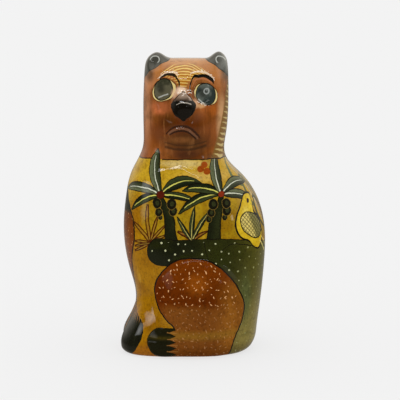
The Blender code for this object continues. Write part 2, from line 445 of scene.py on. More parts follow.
add_tape(mesh, "near_tape", NEAR_TAPE, y, 0.0)
add_tape(mesh, "far_tape", FAR_TAPE, x, EARS_MIDDLE)
print("tapes:", [tape.name for tape in mesh.attributes if tape.name.endswith("_tape")])

# %% The bake layout
BAKE_NEAR = np.linspace(0.01, 0.62, NEAR_COLUMNS + 1)
BAKE_FAR = np.linspace(0.64, 0.99, FAR_COLUMNS + 1)
BAKE_FOOT = 0.01
BAKE_TOP = 0.91
CAP_SCALE = 0.0006          # layout units to a millimetre of foot or crown


def add_bake_layout(mesh):
    """The flat layout for baking: near side, far side, and the two flat faces in a corner above."""
    step_x, step_y, step_z = [np.diff(part[:, tear_near]) for part in (x, y, z)]
    climb = np.hypot(step_z, np.hypot(step_x, step_y))
    rise = np.concatenate([[0], np.cumsum(climb)])
    level = BAKE_FOOT + rise / rise[-1] * (BAKE_TOP - BAKE_FOOT)
    level = np.repeat(level[:, None], z.shape[1], axis=1)
    sheet = np.stack([at_corners((BAKE_NEAR, BAKE_FAR)), round_the_ring(level)], axis=-1).reshape(-1, 2)
    foot = np.stack([x[0, ::-1], y[0, ::-1]], axis=-1) * CAP_SCALE + (0.1, 0.96)
    crown = np.stack([x[-1], y[-1]], axis=-1) * CAP_SCALE + (0.3, 0.96)
    layout = mesh.uv_layers.new(name="OFBake")
    layout.data.foreach_set("uv", np.concatenate([sheet, foot, crown]).ravel())


add_bake_layout(mesh)
print("layouts:", [layout.name for layout in mesh.uv_layers])

# %% The cat
cat = bpy.data.objects.new("painted_cat", mesh)
bpy.context.scene.collection.objects.link(cat)
print("cat, mm:", [round(side / MM, 1) for side in cat.dimensions])


# %% [markdown]
# ## Arithmetic with nodes
# The picture on the clay isn't an image: nodes work it out at every point, from the point's place on
# the painter's tapes, so it stays sharp at any size. Wiring a few thousand Math nodes by hand would be
# unreadable, so a Reading wraps one socket and lets plain sums like (a - b) * 2 add the nodes.
# One rule keeps the picture within the renderer's small memory: a node is added only after the nodes
# it reads, and the "clamp" tick of a Math node is never used, because it hides a late extra node.
# Nodes cost time as well, so each new helper is tried out once in a scratch group, to count its nodes.

# %% Readings
SOFT_EDGE = 0.45            # how far a brushed edge takes to fade, in millimetres


def feed(inlet, value):
    """Gives a socket a link from a Reading, or else a constant."""
    if isinstance(value, Reading):
        inlet.id_data.links.new(value.socket, inlet)
    else:
        inlet.default_value = value


class Reading:
    """A number or colour that nodes work out at every point of the clay."""

    def __init__(self, socket):
        self.socket = socket

    def add_node(self, kind):
        """A new node in the tree that this reading belongs to."""
        return self.socket.id_data.nodes.new(kind)

    def work(self, operation, *others):
        """A Math node that works on this reading and up to two others."""
        node = self.add_node("ShaderNodeMath")
        node.operation = operation
        for inlet, value in zip(node.inputs, (self,) + others):
            feed(inlet, value)
        return Reading(node.outputs[0])

    def __add__(self, other):
        return self.work("ADD", other)

    def __sub__(self, other):
        return self.work("SUBTRACT", other)

    def __rsub__(self, other):
        return self.work("MULTIPLY_ADD", -1.0, other)

    def __mul__(self, other):
        return self.work("MULTIPLY", other)

    def __truediv__(self, other):
        return self.work("DIVIDE", other)

    def __pow__(self, other):
        return self.work("POWER", other)

    def __abs__(self):
        return self.work("ABSOLUTE")

    def times_plus(self, factor, addend):
        """This times a factor, plus an addend, in one node."""
        return self.work("MULTIPLY_ADD", factor, addend)

    def least(self, other):
        return self.work("MINIMUM", other)

    def most(self, other):
        return self.work("MAXIMUM", other)

    def part(self):
        """What is left after the whole number is taken off."""
        return self.work("FRACT")

    def held(self):
        """Kept between 0 and 1."""
        node = self.add_node("ShaderNodeClamp")
        feed(node.inputs[0], self)
        return Reading(node.outputs[0])

    def rising(self, low, high):
        """0 at low and 1 at high, smoothly, and level beyond; low may be the larger of the two."""
        node = self.add_node("ShaderNodeMapRange")
        node.interpolation_type = "SMOOTHSTEP"
        node.clamp = False
        ends = (min(low, high), max(low, high), float(low > high), float(low < high))
        for inlet, value in zip(node.inputs, (self,) + ends):
            feed(inlet, value)
        return Reading(node.outputs[0])

    def inside(self, soft=SOFT_EDGE):
        """1 where this distance is below zero and 0 where it is above, with a soft edge between."""
        return self.rising(soft / 2, -soft / 2)


print("a Reading knows:", [name for name in vars(Reading) if not name.startswith("_")])


# %% Length and layers of colour
def length(side, rise):
    """The length of a step of side and rise."""
    return rise.times_plus(rise, side * side).work("SQRT")


def lay(under, colour, share):
    """A colour laid over another, as thickly as share says."""
    node = share.add_node("ShaderNodeMix")
    node.data_type = "RGBA"
    feed(node.inputs[0], share)
    feed(node.inputs[6], under)
    feed(node.inputs[7], colour)
    return Reading(node.outputs[2])


def nodes_for(draw):
    """How many nodes draw(under, place) takes, counted in a scratch group that is thrown away again."""
    group = bpy.data.node_groups.new("scratch", "ShaderNodeTree")
    blank = Reading(group.nodes.new("ShaderNodeValue").outputs[0])
    draw(blank, (blank, blank))
    count = len(group.nodes) - 1
    bpy.data.node_groups.remove(group)
    return count


print("nodes for a length:", nodes_for(lambda under, place: length(*place)))


# %% [markdown]
# ## Curves and outlines
# A hand-drawn edge is neither a circle nor a straight line. Two tools draw it: `follow` reads a smooth
# curve through a few stations, for an edge that runs along the body, and `outline` does the same round
# a middle, for a closed shape. Both end in a Float Curve node. Distances come out in millimetres, so
# one shape can be filled, outlined or given a light rim at will.

# %% Following a curve
CURVE_KNOTS = 40


def follow(value, stations):
    """The smooth curve through the stations, read at a value; it stays level beyond both ends."""
    at = smooth_curve(stations)
    low, high = stations[0][0], stations[-1][0]
    places = np.linspace(0, 1, CURVE_KNOTS)
    reach = at(low + places * (high - low))
    bottom, span = float(reach.min()), float(max(np.ptp(reach), 0.001))
    share = ((value - low) / (high - low)).held()
    node = value.add_node("ShaderNodeFloatCurve")
    node.mapping.extend = "HORIZONTAL"
    points = node.mapping.curves[0].points
    levels = (reach - bottom) / span
    points[0].location = (0.0, levels[0])
    points[1].location = (1.0, levels[-1])
    for place, level in zip(places[1:-1], levels[1:-1]):
        points.new(place, level)
    node.mapping.update()
    feed(node.inputs["Value"], share)
    return Reading(node.outputs["Value"]).times_plus(span, bottom)


print("nodes to follow a curve:", nodes_for(lambda under, place: follow(place[0], CHEST_SIDE)))


# %% Outlines, ovals and bars
def outline(place, middle, stations):
    """How far outside a closed shape a place is. The stations are (degrees, reach) round its middle."""
    side, rise = place[0] - middle[0], place[1] - middle[1]
    round_twice = [(turn + 360 * lap, reach) for lap in (-1, 0, 1) for turn, reach in stations]
    wrapped = [station for station in round_twice if -250 < station[0] < 250]
    seam = float(smooth_curve(wrapped)(180))
    turns = [(-180, seam)] + [station for station in wrapped if -180 < station[0] < 180] + [(180, seam)]
    edge = follow(rise.work("ARCTAN2", side) * math.degrees(1), turns)
    return length(side, rise) - edge


def oval(place, middle, reach, turn=0.0):
    """How far outside an oval a place is, in millimetres near its edge; turn is in degrees."""
    side, rise = place[0] - middle[0], place[1] - middle[1]
    if turn:
        cosine, sine = math.cos(math.radians(turn)), math.sin(math.radians(turn))
        side, rise = side * cosine + rise * sine, rise * cosine - side * sine
    size = length(side / reach[0], rise / reach[1])
    slope = length(side / reach[0] ** 2, rise / reach[1] ** 2)
    return size * (size - 1) / slope


def bar(place, start, end, radius):
    """How far outside a round-ended bar a place is."""
    side, rise = place[0] - start[0], place[1] - start[1]
    along = (end[0] - start[0], end[1] - start[1])
    size = along[0] ** 2 + along[1] ** 2
    share = rise.times_plus(along[1] / size, side * (along[0] / size)).held()
    return length(share.times_plus(-along[0], side), share.times_plus(-along[1], rise)) - radius


print("nodes for an oval:", nodes_for(lambda under, place: oval(place, (0, 0), (9, 6))))
print("nodes for a bar:", nodes_for(lambda under, place: bar(place, (0, 0), (9, 6), 2)))


# %% A brushed line
def drawn_line(value, other, stations, thickness, soft=SOFT_EDGE):
    """A brushed line: other follows a curve of value. Thickness is one number, or (start, end)."""
    start, end = stations[0][0], stations[-1][0]
    first, last = thickness if isinstance(thickness, tuple) else (thickness, thickness)
    share = ((value - start) / (end - start)).held()
    away = abs(other - follow(value, stations)) - share.times_plus((last - first) / 2, first / 2)
    return away.most(value - end).most(start - value).inside(soft)


print("nodes for a line:", nodes_for(lambda under, place: drawn_line(*place, CHEST_SIDE, 1.0)))


# %% [markdown]
# ## Brushes
# Palms, grass and bushes are all made of one mark: a leaf pulled out from its root, fat in the middle,
# dark at its edge, with a pale rib. A node group holds that mark once, and every leaf on the cat is the
# same group with its own place, bow, width and colours. The group takes the colour beneath and gives
# back the colour with the leaf on it, so the leaves are laid one over another, as a painter does.

# %% Colours
def slip(red, green, blue):
    """A coloured slip, from the 0 to 255 values that a screen shows."""
    parts = [value / 255 for value in (red, green, blue)]
    linear = [part / 12.92 if part < 0.04045 else ((part + 0.055) / 1.055) ** 2.4 for part in parts]
    return (*linear, 1.0)


BLACK = slip(18, 14, 8)
DEEP_GREEN = slip(20, 26, 12)
GREY_GREEN = slip(52, 60, 32)
RIB = slip(206, 202, 96)
print("deep green as the shader counts it:", [round(part, 4) for part in DEEP_GREEN])


# %% A group of nodes
def new_group(name, colours, numbers):
    """A node group that takes colours and numbers and gives back one colour."""
    group = bpy.data.node_groups.new(name, "ShaderNodeTree")
    for kind, names in (("NodeSocketColor", colours), ("NodeSocketFloat", numbers)):
        for socket_name in names:
            group.interface.new_socket(name=socket_name, in_out="INPUT", socket_type=kind)
    group.interface.new_socket(name="Over", in_out="OUTPUT", socket_type="NodeSocketColor")
    entry = group.nodes.new("NodeGroupInput")
    return group, {outlet.name: Reading(outlet) for outlet in entry.outputs if outlet.name}


# %% The leaf brush
def leaf_brush():
    """A node group that lays one bowed leaf over the colour beneath it."""
    colours = ("Under", "Edge colour", "Dark side", "Light side", "Rib colour")
    numbers = ("Across", "Up", "Root across", "Root up", "Way across", "Way up", "Length", "Bow",
               "Half width", "Edge", "Rib width")
    group, given = new_group("leaf brush", colours, numbers)
    side, rise = given["Across"] - given["Root across"], given["Up"] - given["Root up"]
    way_across, way_up, size = given["Way across"], given["Way up"], given["Length"]
    along = side.times_plus(way_across, rise * way_up) / size
    share = along.held()
    swell = (1 - share) * share * 4
    off = (rise * way_across) - (side * way_up) - swell * given["Bow"]
    half = (swell ** 0.8) * given["Half width"]
    beyond = (abs(along - 0.5) - 0.5) * size
    away = (abs(off) - half).most(beyond)
    lean = (off / half.most(0.2)).rising(-1.0, 1.0)
    flesh = lay(given["Dark side"], given["Light side"], lean)
    over = lay(given["Under"], given["Edge colour"], (away - given["Edge"]).inside())
    over = lay(over, flesh, away.inside(0.6))
    taper = (1 - share).times_plus(0.45, 0.2) * given["Rib width"]
    rib = (abs(off) - taper).most((share - 0.86) * size).most(beyond)
    over = lay(over, given["Edge colour"], (rib - given["Rib width"] * 0.6).most(away).inside(0.5) * 0.8)
    over = lay(over, given["Rib colour"], rib.inside(0.5))
    feed(group.nodes.new("NodeGroupOutput").inputs[0], over)
    return group


LEAF_BRUSH = leaf_brush()
print("leaf brush:", len(LEAF_BRUSH.nodes), "nodes")


# %% One leaf
def leaf(under, place, root, tip, bow, half_width, edge=0.9, rib_width=1.1, edge_colour=BLACK,
         dark=DEEP_GREEN, light=GREY_GREEN, rib=RIB):
    """One leaf from root to tip; bow is how far its middle swings to the left of that way."""
    size = math.dist(root, tip)
    node = under.add_node("ShaderNodeGroup")
    node.node_tree = LEAF_BRUSH
    values = (under, edge_colour, dark, light, rib, place[0], place[1], root[0], root[1],
              (tip[0] - root[0]) / size, (tip[1] - root[1]) / size, size, bow, half_width, edge, rib_width)
    for inlet, value in zip(node.inputs, values):
        feed(inlet, value)
    return Reading(node.outputs[0])


print("nodes for a leaf:", nodes_for(lambda under, place: leaf(under, place, (0, 0), (9, 6), 1, 2)))


# %% Spots
def spot(under, place, middle, reach, colour, rim=None, rim_width=0.6, turn=0.0):
    """An oval of one colour, with a rim of another if it is given."""
    away = oval(place, middle, reach, turn)
    if rim:
        under = lay(under, rim, (away - rim_width).inside())
    return lay(under, colour, away.inside())


print("nodes for a spot:", nodes_for(lambda under, place: spot(under, place, (0, 0), (9, 6), BLACK)))


# %% Flecks
def flecks(place, spacing, reach, jumble, swing=2.4, seed=0.0):
    """A field of small brush touches, one in each patch of clay, each a little different.

    reach is half their width and height, jumble is how far they stray from the middle of their patch,
    and swing is how far they turn, in radians."""
    row = (place[1] / spacing).work("FLOOR")
    level = (place[1] / spacing).part()
    along = place[0] / spacing + row * 0.43                         # each row starts further round
    ticket = row.times_plus(57.3, along.work("FLOOR")) + seed       # a number of its own for each patch
    draw = ticket.add_node("ShaderNodeTexWhiteNoise")
    draw.noise_dimensions = "1D"
    feed(draw.inputs["W"], ticket)
    split = ticket.add_node("ShaderNodeSeparateColor")
    feed(split.inputs[0], Reading(draw.outputs["Color"]))
    first, second, third = [Reading(outlet) for outlet in split.outputs]
    side = (along.part() - first.times_plus(jumble, 0.5 - jumble / 2)) * spacing
    rise = (level - second.times_plus(jumble, 0.5 - jumble / 2)) * spacing
    angle = third.times_plus(swing, -swing / 2)
    cosine, sine = angle.work("COSINE"), angle.work("SINE")
    wide = side.times_plus(cosine, rise * sine) / reach[0]
    tall = (rise * cosine - side * sine) / reach[1]
    return (length(wide, tall) - first.times_plus(0.6, 0.7)).inside(0.5)


print("nodes for flecks:", nodes_for(lambda under, place: flecks(place, 9.0, (1, 1), 0.6)))


# %% [markdown]
# ## Reading the tapes
# The paint starts from the places stored at the corners. A slow noise shifts every place by about half a
# millimetre first, so that no line is truer than a steady hand can draw it. `near` and `far` are places
# on the two tapes, and `flank` is whichever belongs to the side it is on, for what is painted the same
# on both sides. Every layer of paint is then wired in a group of its own, from these few readings.

# %% Start the finish
finish = bpy.data.materials.new("painted_clay_finish")
finish.use_nodes = True
nodes, links = finish.node_tree.nodes, finish.node_tree.links
body_point = nodes.new("ShaderNodeTexCoord").outputs["Object"]


def three_parts(colour_socket):
    """The three numbers held in a colour."""
    node = nodes.new("ShaderNodeSeparateColor")
    links.new(colour_socket, node.inputs[0])
    return [Reading(outlet) for outlet in node.outputs]


def noise(vector, scale, detail=2.0, roughness=0.5):
    """A noise texture's outputs, read at a vector socket."""
    node = nodes.new("ShaderNodeTexNoise")
    for name, value in (("Scale", scale), ("Detail", detail), ("Roughness", roughness)):
        node.inputs[name].default_value = value
    links.new(vector, node.inputs["Vector"])
    return node.outputs


print("finish:", finish.name)

# %% Reading a tape
WANDER = 2.6                # how far a hand strays over a long stroke, in millimetres
TREMBLE = 0.7               # and how far it shakes


def tape(name):
    """A place on one of the tapes, and the third number that it carries."""
    node = nodes.new("ShaderNodeAttribute")
    node.attribute_name = name
    along, up, third = three_parts(node.outputs["Color"])
    across = slow[0].times_plus(WANDER, along - WANDER / 2) + quick[0]
    height = slow[1].times_plus(WANDER, up - WANDER / 2) + quick[1]
    return (across, height), third


slow = three_parts(noise(body_point, 70)["Color"])
quick = [part.times_plus(TREMBLE, -TREMBLE / 2) for part in three_parts(noise(body_point, 330)["Color"])]
near, body_y = tape("near_tape")
far, body_x = tape("far_tape")
on_far = body_y.work("GREATER_THAN", 0.0)
flank = (on_far.times_plus(far[0] - near[0], near[0]), on_far.times_plus(far[1] - near[1], near[1]))
print("nodes that read the tapes:", len(nodes))

# %% Brush load and streaks
load = Reading(noise(body_point, 38.0, 4.0, 0.6)["Fac"])
stretched = nodes.new("ShaderNodeMapping")
stretched.inputs["Scale"].default_value = (160, 160, 22)
links.new(body_point, stretched.inputs["Vector"])
streak = Reading(noise(stretched.outputs[0], 1.0, 3.0, 0.6)["Fac"])
print("nodes before any paint:", len(nodes))


# %% A layer of paint
def layer(recipe, under, place, *more):
    """Wires recipe(under, place, load, ...) in a group of its own and gives back the colour it leaves."""
    name = recipe.__name__.replace("_", " ")
    given = (under, *place, load, *more)
    group, inlets = new_group(name, ("Under",), [f"Reading {count}" for count in range(len(given) - 1)])
    under, across, up, group_load, *group_more = inlets.values()
    over = recipe(under, (across, up), group_load, *group_more)
    feed(group.nodes.new("NodeGroupOutput").inputs[0], over)
    node = nodes.new("ShaderNodeGroup")
    node.node_tree = group
    for inlet, value in zip(node.inputs, given):
        feed(inlet, value)
    print(f"{name}: {len(group.nodes)} nodes")
    return Reading(node.outputs[0])


# %% [markdown]
# ## Ground colours
# The body is washed with mustard ochre and the head with terracotta, in uneven brush loads that dry
# lighter and darker; both grow paler towards the top, partly as painted light from above. Soft ovals
# of related colours are glazed over, each fading out from its middle: browner round the muzzle and
# chin, pinker on the cheek, paler at the temples. Some of them are painted light: highlights along
# the crown, on the chin and under the neck line, sheen over the chest and shoulder, reflections at
# the turns of the cheeks and in the cheek's pink glow, and painted shade on the throat.

# %% A glaze
def glaze(under, place, middle, reach, colour, strength):
    """A thin soft oval of colour."""
    size = length((place[0] - middle[0]) / reach[0], (place[1] - middle[1]) / reach[1])
    return lay(under, colour, size.rising(1.0, 0.2) * strength)


def glazes(under, place, table):
    """Several glazes, one over another: each is (middle, reach, colour, strength)."""
    for middle, reach, colour, strength in table:
        under = glaze(under, place, middle, reach, slip(*colour), strength)
    return under


print("nodes for a glaze:", nodes_for(lambda under, place: glaze(under, place, (0, 0), (9, 6), RIB, 1)))


# %% Body wash
MUSTARD = slip(154, 106, 4)
MUSTARD_DARK = slip(124, 78, 0)
MUSTARD_PALE = slip(198, 158, 34)
# the glazes under the neck line, over the top of the chest and at the back of the shoulder are painted
# highlight and painted sheen
BODY_GLAZES_AND_SHEEN = (((-80, 176), (24, 28), (196, 158, 50), 0.8),         # the front of the shoulder
               ((-10, 190), (36, 6), (222, 200, 134), 0.6),         # under the neck line
               ((16, 178), (40, 9), (216, 178, 92), 0.6),           # the top of the chest
               ((62, 166), (24, 28), (212, 178, 92), 0.5),          # the back of the shoulder
               ((-60, 140), (15, 28), (150, 94, 6), 0.8))           # beside the foreleg


def body_wash(under, place, load, streak):
    """Mustard, darker where the brush was full, browner near the ground, and paler up the chest, partly as
    painted sheen.
    """
    wash = lay(under, slip(158, 126, 16), place[1].rising(104, 126))
    # paler up towards the neck: partly painted sheen
    wash = lay(wash, MUSTARD_PALE, place[1].rising(138, 178) * 0.9)
    wash = lay(wash, MUSTARD_DARK, load.rising(0.45, 0.68) * 0.6)
    wash = lay(wash, slip(170, 120, 10), load.rising(0.45, 0.3) * 0.8)
    wash = glazes(wash, place, BODY_GLAZES_AND_SHEEN)
    wash = lay(wash, MUSTARD_DARK, streak.rising(0.5, 0.3) * 0.3)
    wash = lay(wash, slip(214, 172, 60), streak.rising(0.56, 0.74) * 0.3)
    return lay(wash, slip(132, 70, 8), place[1].rising(22, 4) * 0.7)


paint = layer(body_wash, MUSTARD, flank, streak)

# %% Head wash
NECK = 194.0                # the height where the head's terracotta begins
TERRACOTTA = slip(140, 76, 28)
# of these glazes, the edge of the crown and the light on the chin are painted highlights, the turns of
# both cheeks and the pink cheek's glow are painted reflections, and the dark throat is painted shade
HEAD_GLAZES_AND_LIGHT = (((-8, 289), (32, 6), (226, 170, 118), 0.6),          # the edge of the crown
               ((-45, 270), (15, 15), (190, 128, 84), 0.6),         # left temple
               ((31, 270), (12, 15), (186, 120, 70), 0.6),          # right temple
               ((-32, 244), (20, 10), (210, 114, 68), 0.9),         # a pink cheek
               ((-52, 245), (14, 50), (192, 132, 92), 0.65),        # the turn of the left cheek
               ((31.5, 232), (9.5, 38), (204, 160, 112), 0.8),      # and of the right one
               ((16, 242), (14, 9), (176, 92, 28), 0.7),            # under the right eye
               ((-9, 228), (36, 22), (88, 40, 6), 1.0),             # the muzzle
               ((-36, 220), (16, 18), (92, 42, 12), 0.6),           # the left jaw
               ((-26, 231), (11, 10), (70, 30, 6), 0.8),            # beside the nose
               ((-6, 211), (38, 16), (68, 38, 8), 0.9),             # the chin
               ((-6, 198), (24, 9), (66, 30, 6), 0.9),              # the throat
               ((-12, 213.5), (17, 4.5), (132, 80, 36), 0.6),       # the light on the chin
               ((-38, 198), (16, 9), (160, 92, 48), 0.6),           # the left of the throat
               ((20, 198), (10, 8), (140, 84, 40), 0.6))            # and the right of it


def head_wash(under, place, load, streak):
    """Terracotta, paler towards the top as painted light from above, dark round the muzzle and chin."""
    # paler towards the top: painted light from above
    wash = lay(TERRACOTTA, slip(180, 116, 58), place[1].rising(258, 280) * 0.85)
    wash = glazes(wash, place, HEAD_GLAZES_AND_LIGHT)
    full_brush = load.rising(0.48, 0.66) * place[1].rising(286, 262).times_plus(0.35, 0.15)
    wash = lay(wash, slip(84, 50, 10), full_brush)
    wash = lay(wash, slip(80, 34, 4), streak.rising(0.5, 0.3) * 0.4)
    # pale streaks, stronger higher up: painted sheen
    streak_sheen = streak.rising(0.54, 0.72) * place[1].rising(205, 240).times_plus(0.2, 0.12)
    wash = lay(wash, slip(206, 138, 76), streak_sheen)
    return lay(under, wash, (NECK - place[1]).inside())


paint = layer(head_wash, paint, near, streak)


# %% [markdown]
# ## The garden on the flank
# Folk painters fill the body with a small garden: grasses, two palms with coconuts, a spotted cactus
# hill, a bird. What lies behind is painted first. The far side carries the same garden in a plainer
# way: one palm, some grass, and leaves that hang from the shoulder.

# %% Leaves that hang from the shoulder
LEAF_TAN = slip(176, 140, 66)
LEAF_OLIVE = slip(84, 84, 32)
LEAF_SPACING = 21           # from one leaf round to the next
SHOULDER = (((43, 195), (62, 168), -2.0, 7.5, 3.6, (100, 106, 60), (176, 140, 66)),
            ((56, 175), (78, 143), -1.0, 5.0, 3.0, (94, 92, 44), (160, 128, 66)),
            ((69, 155), (87, 127), -1.0, 4.5, 2.8, (60, 60, 24), (130, 98, 62)))


def hanging_leaf(under, place, root, tip, bow, half_width, edge=1.6, edge_colour=LEAF_OLIVE,
                 light=LEAF_TAN):
    """A broad tan leaf with an olive edge."""
    return leaf(under, place, root, tip, bow, half_width, edge, rib_width=0.9, edge_colour=edge_colour,
                dark=MUSTARD_PALE, light=light, rib=slip(222, 200, 150))


def shoulder_leaves(under, place, load):
    """Olive-edged leaves: three down the shoulder, then two staggered rows round to the back."""
    for root, tip, bow, half_width, edge, edge_colour, light in SHOULDER:
        under = hanging_leaf(under, place, root, tip, bow, half_width, edge, slip(*edge_colour),
                             slip(*light))
    for step in range(4):
        shift = LEAF_SPACING * step
        stagger = 4 * (step % 2)
        under = hanging_leaf(under, place, (72 + shift, 190 - stagger), (82 + shift, 160), -3.0, 5.0)
        under = hanging_leaf(under, place, (94 + shift, 158), (100 + shift, 128 + stagger), 3.0, 5.0)
    return under


def far_leaves(under, place, load):
    """Three plainer leaves at the top of the far flank."""
    for root, tip, bow in (((-52, 186), (-66, 164), 3), ((30, 188), (44, 166), -3),
                           ((52, 170), (66, 146), -3)):
        under = hanging_leaf(under, place, root, tip, bow, 4.5)
    return under


paint = layer(shoulder_leaves, paint, near)
paint = layer(far_leaves, paint, far)

# %% [markdown]
# ## Grasses and a bush
# Between the trunks and beside them a few pulled strokes stand for undergrowth. The grasses are narrow
# blades of ochre with a rust edge, and the bush has three broader dark blades with a pale rib. Both are
# the leaf brush again, spread from one root: only its width, edge and colours change.

# %% Grass and bush
GRASS_EDGE = slip(66, 26, 6)
GRASS_FLESH = slip(142, 98, 18)
BUSH_RIB = slip(190, 178, 96)


def grass_fan(under, place, base, tips, edge_colour=GRASS_EDGE, flesh=GRASS_FLESH):
    """Narrow blades that spread from one base; tips are (across, up, half width, bow)."""
    for across, up, half_width, bow in tips:
        under = leaf(under, place, base, (across, up), bow, half_width * 0.8, edge=1.15, rib_width=0.0,
                     edge_colour=edge_colour, dark=flesh, light=flesh)
    return under


def bush(under, place, base, tips):
    """Dark blades with a pale rib; tips are (across, up, half width, bow)."""
    for across, up, half_width, bow in tips:
        under = leaf(under, place, base, (across, up), bow, half_width, edge=0.5, rib_width=0.62,
                     rib=BUSH_RIB)
    return under


print("nodes for a bush:", nodes_for(lambda under, place: bush(under, place, (0, 0), [(9, 6, 2, 1)] * 3)))


# %% What grows between the trunks
LEFT_GRASS = ((-61.8, 131.2, 1.5, -1.0), (-46.0, 149.2, 1.7, 1.5), (-34.9, 138.3, 1.0, 0.8),
              (-28.6, 129.7, 0.9, 0.5), (-27.1, 120.8, 0.8, 0.3), (-60.4, 113.4, 0.7, -0.5),
              (-60.8, 104.3, 0.7, 0.5), (-61.0, 108.8, 0.4, 0.0))
MIDDLE_GRASS = ((-14.4, 124.8, 1.3, -1.0), (12.8, 125.3, 1.1, 1.0))
MIDDLE_BUSH = ((-15.3, 139.3, 2.0, 1.2), (1.4, 149.5, 2.4, 1.6), (16.2, 145.2, 2.0, 1.5))
MIDDLE_ROOT = (-0.5, 116.0)
FAR_SHIFT = 34              # the far side's bush stands further round


def near_grass(under, place, load):
    """A rust-edged fan of grass on the left, and a bush with two red blades between the palms."""
    under = grass_fan(under, place, (-42.5, 113.3), LEFT_GRASS)
    under = grass_fan(under, place, MIDDLE_ROOT, MIDDLE_GRASS, slip(54, 16, 6), slip(120, 66, 14))
    return bush(under, place, MIDDLE_ROOT, MIDDLE_BUSH)


def far_grass(under, place, load):
    """The same bush, and the same grass with fewer blades."""
    under = grass_fan(under, place, (-40.0, 113.3), LEFT_GRASS[:5])
    return bush(under, place, (FAR_SHIFT, 114.0),
                [(across + FAR_SHIFT, *rest) for across, *rest in MIDDLE_BUSH])


paint = layer(near_grass, paint, near)
paint = layer(far_grass, paint, far)

# %% [markdown]
# ## Palms
# Each palm is a leaning black-green trunk that narrows upwards, round coconuts hung below the crown,
# and five bowed fronds that spring from one red heart. The trunk is a curve with a width that changes,
# not a leaf, because its edges aren't pulled to a point. Fronds on the shoulder carry a painted sheen,
# for the light they would catch: a greyer green and a paler rib.

# %% Trunk and coconuts
TRUNK = slip(24, 28, 12)
COCONUT = slip(22, 20, 10)


def trunk(under, place, load, middle_line, half_widths):
    """A dark trunk; both lists are (height, millimetres)."""
    off = place[0] - follow(place[1], middle_line)
    end, start = middle_line[-1][0], middle_line[0][0]
    away = (abs(off) - follow(place[1], half_widths)).most(place[1] - end).most(start - place[1])
    under = lay(under, BLACK, (away - 0.5).inside())
    bark = lay(TRUNK, slip(38, 42, 18), off.rising(-4, 3) * load.rising(0.35, 0.6))
    return lay(under, bark, (away + 0.6).inside(1.2))


def coconut(under, place, middle, size):
    """A dark round with a thin ochre rim and a dull green light in it."""
    under = spot(under, place, middle, (size, size * 1.12), COCONUT, slip(122, 98, 38), 0.4)
    light = (middle[0] + 0.4, middle[1] + 0.3)
    return spot(under, place, light, (size * 0.45, size * 0.55), slip(46, 50, 24))


print("nodes for a coconut:", nodes_for(lambda under, place: coconut(under, place, (0, 0), 4)))


# %% A palm
CROWN_RED = slip(84, 24, 8)
# painted sheen for fronds that would catch the light: a whiter rib and a greyer green
SHEEN_RIB = slip(206, 210, 184)
SHEEN_GREEN = slip(98, 104, 72)
DULL_GREEN = slip(42, 48, 28)


def palm(under, place, load, crown, middle_line, half_widths, coconuts, fronds, heart=4.0, red=CROWN_RED):
    """A palm: trunk, coconuts, fronds from the crown as (tip, bow, half width, rib), a red heart."""
    under = trunk(under, place, load, middle_line, half_widths)
    for across, up, size in coconuts:
        under = coconut(under, place, (across, up), size)
    for tip, bow, half_width, rib in fronds:
        dark, light = (DULL_GREEN, SHEEN_GREEN) if rib == SHEEN_RIB else (DEEP_GREEN, GREY_GREEN)
        under = leaf(under, place, crown, tip, bow, half_width, dark=dark, light=light, rib=rib)
    return spot(under, place, crown, (heart, heart * 0.9), red, slip(40, 16, 6), 0.4, 20)


# %% The two near palms
def left_palm(under, place, load):
    """The palm on the left, its longest frond up over the throat."""
    trunk_line = ((115, -20.8), (128, -22.8), (141, -24.2), (152, -29.5), (160, -32.1))
    half_widths = ((115, 6.4), (128, 5.0), (141, 4.6), (152, 3.4), (160, 2.0))
    coconuts = ((-32.2, 138.4, 2.0), (-33.9, 143.6, 3.5), (-36.0, 152.0, 4.5), (-19.6, 144.6, 3.8),
                (-21.4, 151.6, 4.5))
    fronds = (((7.5, 172.2), 6.5, 4.9, RIB), ((1.2, 154.7), 2.0, 3.2, RIB),
              ((-66.5, 144.3), -3.0, 3.6, RIB), ((-79.0, 163.4), -4.8, 4.1, SHEEN_RIB),
              ((-35.4, 203.7), 4.6, 5.6, SHEEN_RIB))
    return palm(under, place, load, (-32.1, 160.5), trunk_line, half_widths, coconuts, fronds)


def right_palm(under, place, load):
    """The palm on the right, and the three red berries over it."""
    trunk_line = ((115, 19.4), (128, 20.5), (141, 22.6), (152, 26.0), (160, 27.8))
    half_widths = ((115, 6.8), (128, 6.0), (141, 5.4), (152, 3.2), (160, 2.0))
    coconuts = ((15.0, 137.6, 2.7), (17.4, 143.4, 3.5), (19.4, 151.4, 4.6), (31.2, 138.7, 2.5),
                (32.8, 145.2, 4.2), (32.4, 152.0, 4.3))
    fronds = (((62.0, 155.5), 2.0, 3.9, SHEEN_RIB), ((-13.5, 142.9), -5.5, 3.6, RIB),
              ((-10.0, 164.6), -4.2, 4.2, RIB), ((60.8, 170.8), 5.8, 4.4, SHEEN_RIB),
              ((24.0, 201.5), 3.6, 5.0, SHEEN_RIB))
    under = palm(under, place, load, (27.8, 160.8), trunk_line, half_widths, coconuts, fronds,
                 3.0, slip(134, 44, 16))
    for middle in ((11.2, 188.8), (7.2, 184.9), (13.6, 182.5)):
        under = spot(under, place, middle, (3.5, 3.2), slip(150, 68, 12))
    return under


paint = layer(left_palm, paint, near)
paint = layer(right_palm, paint, near)


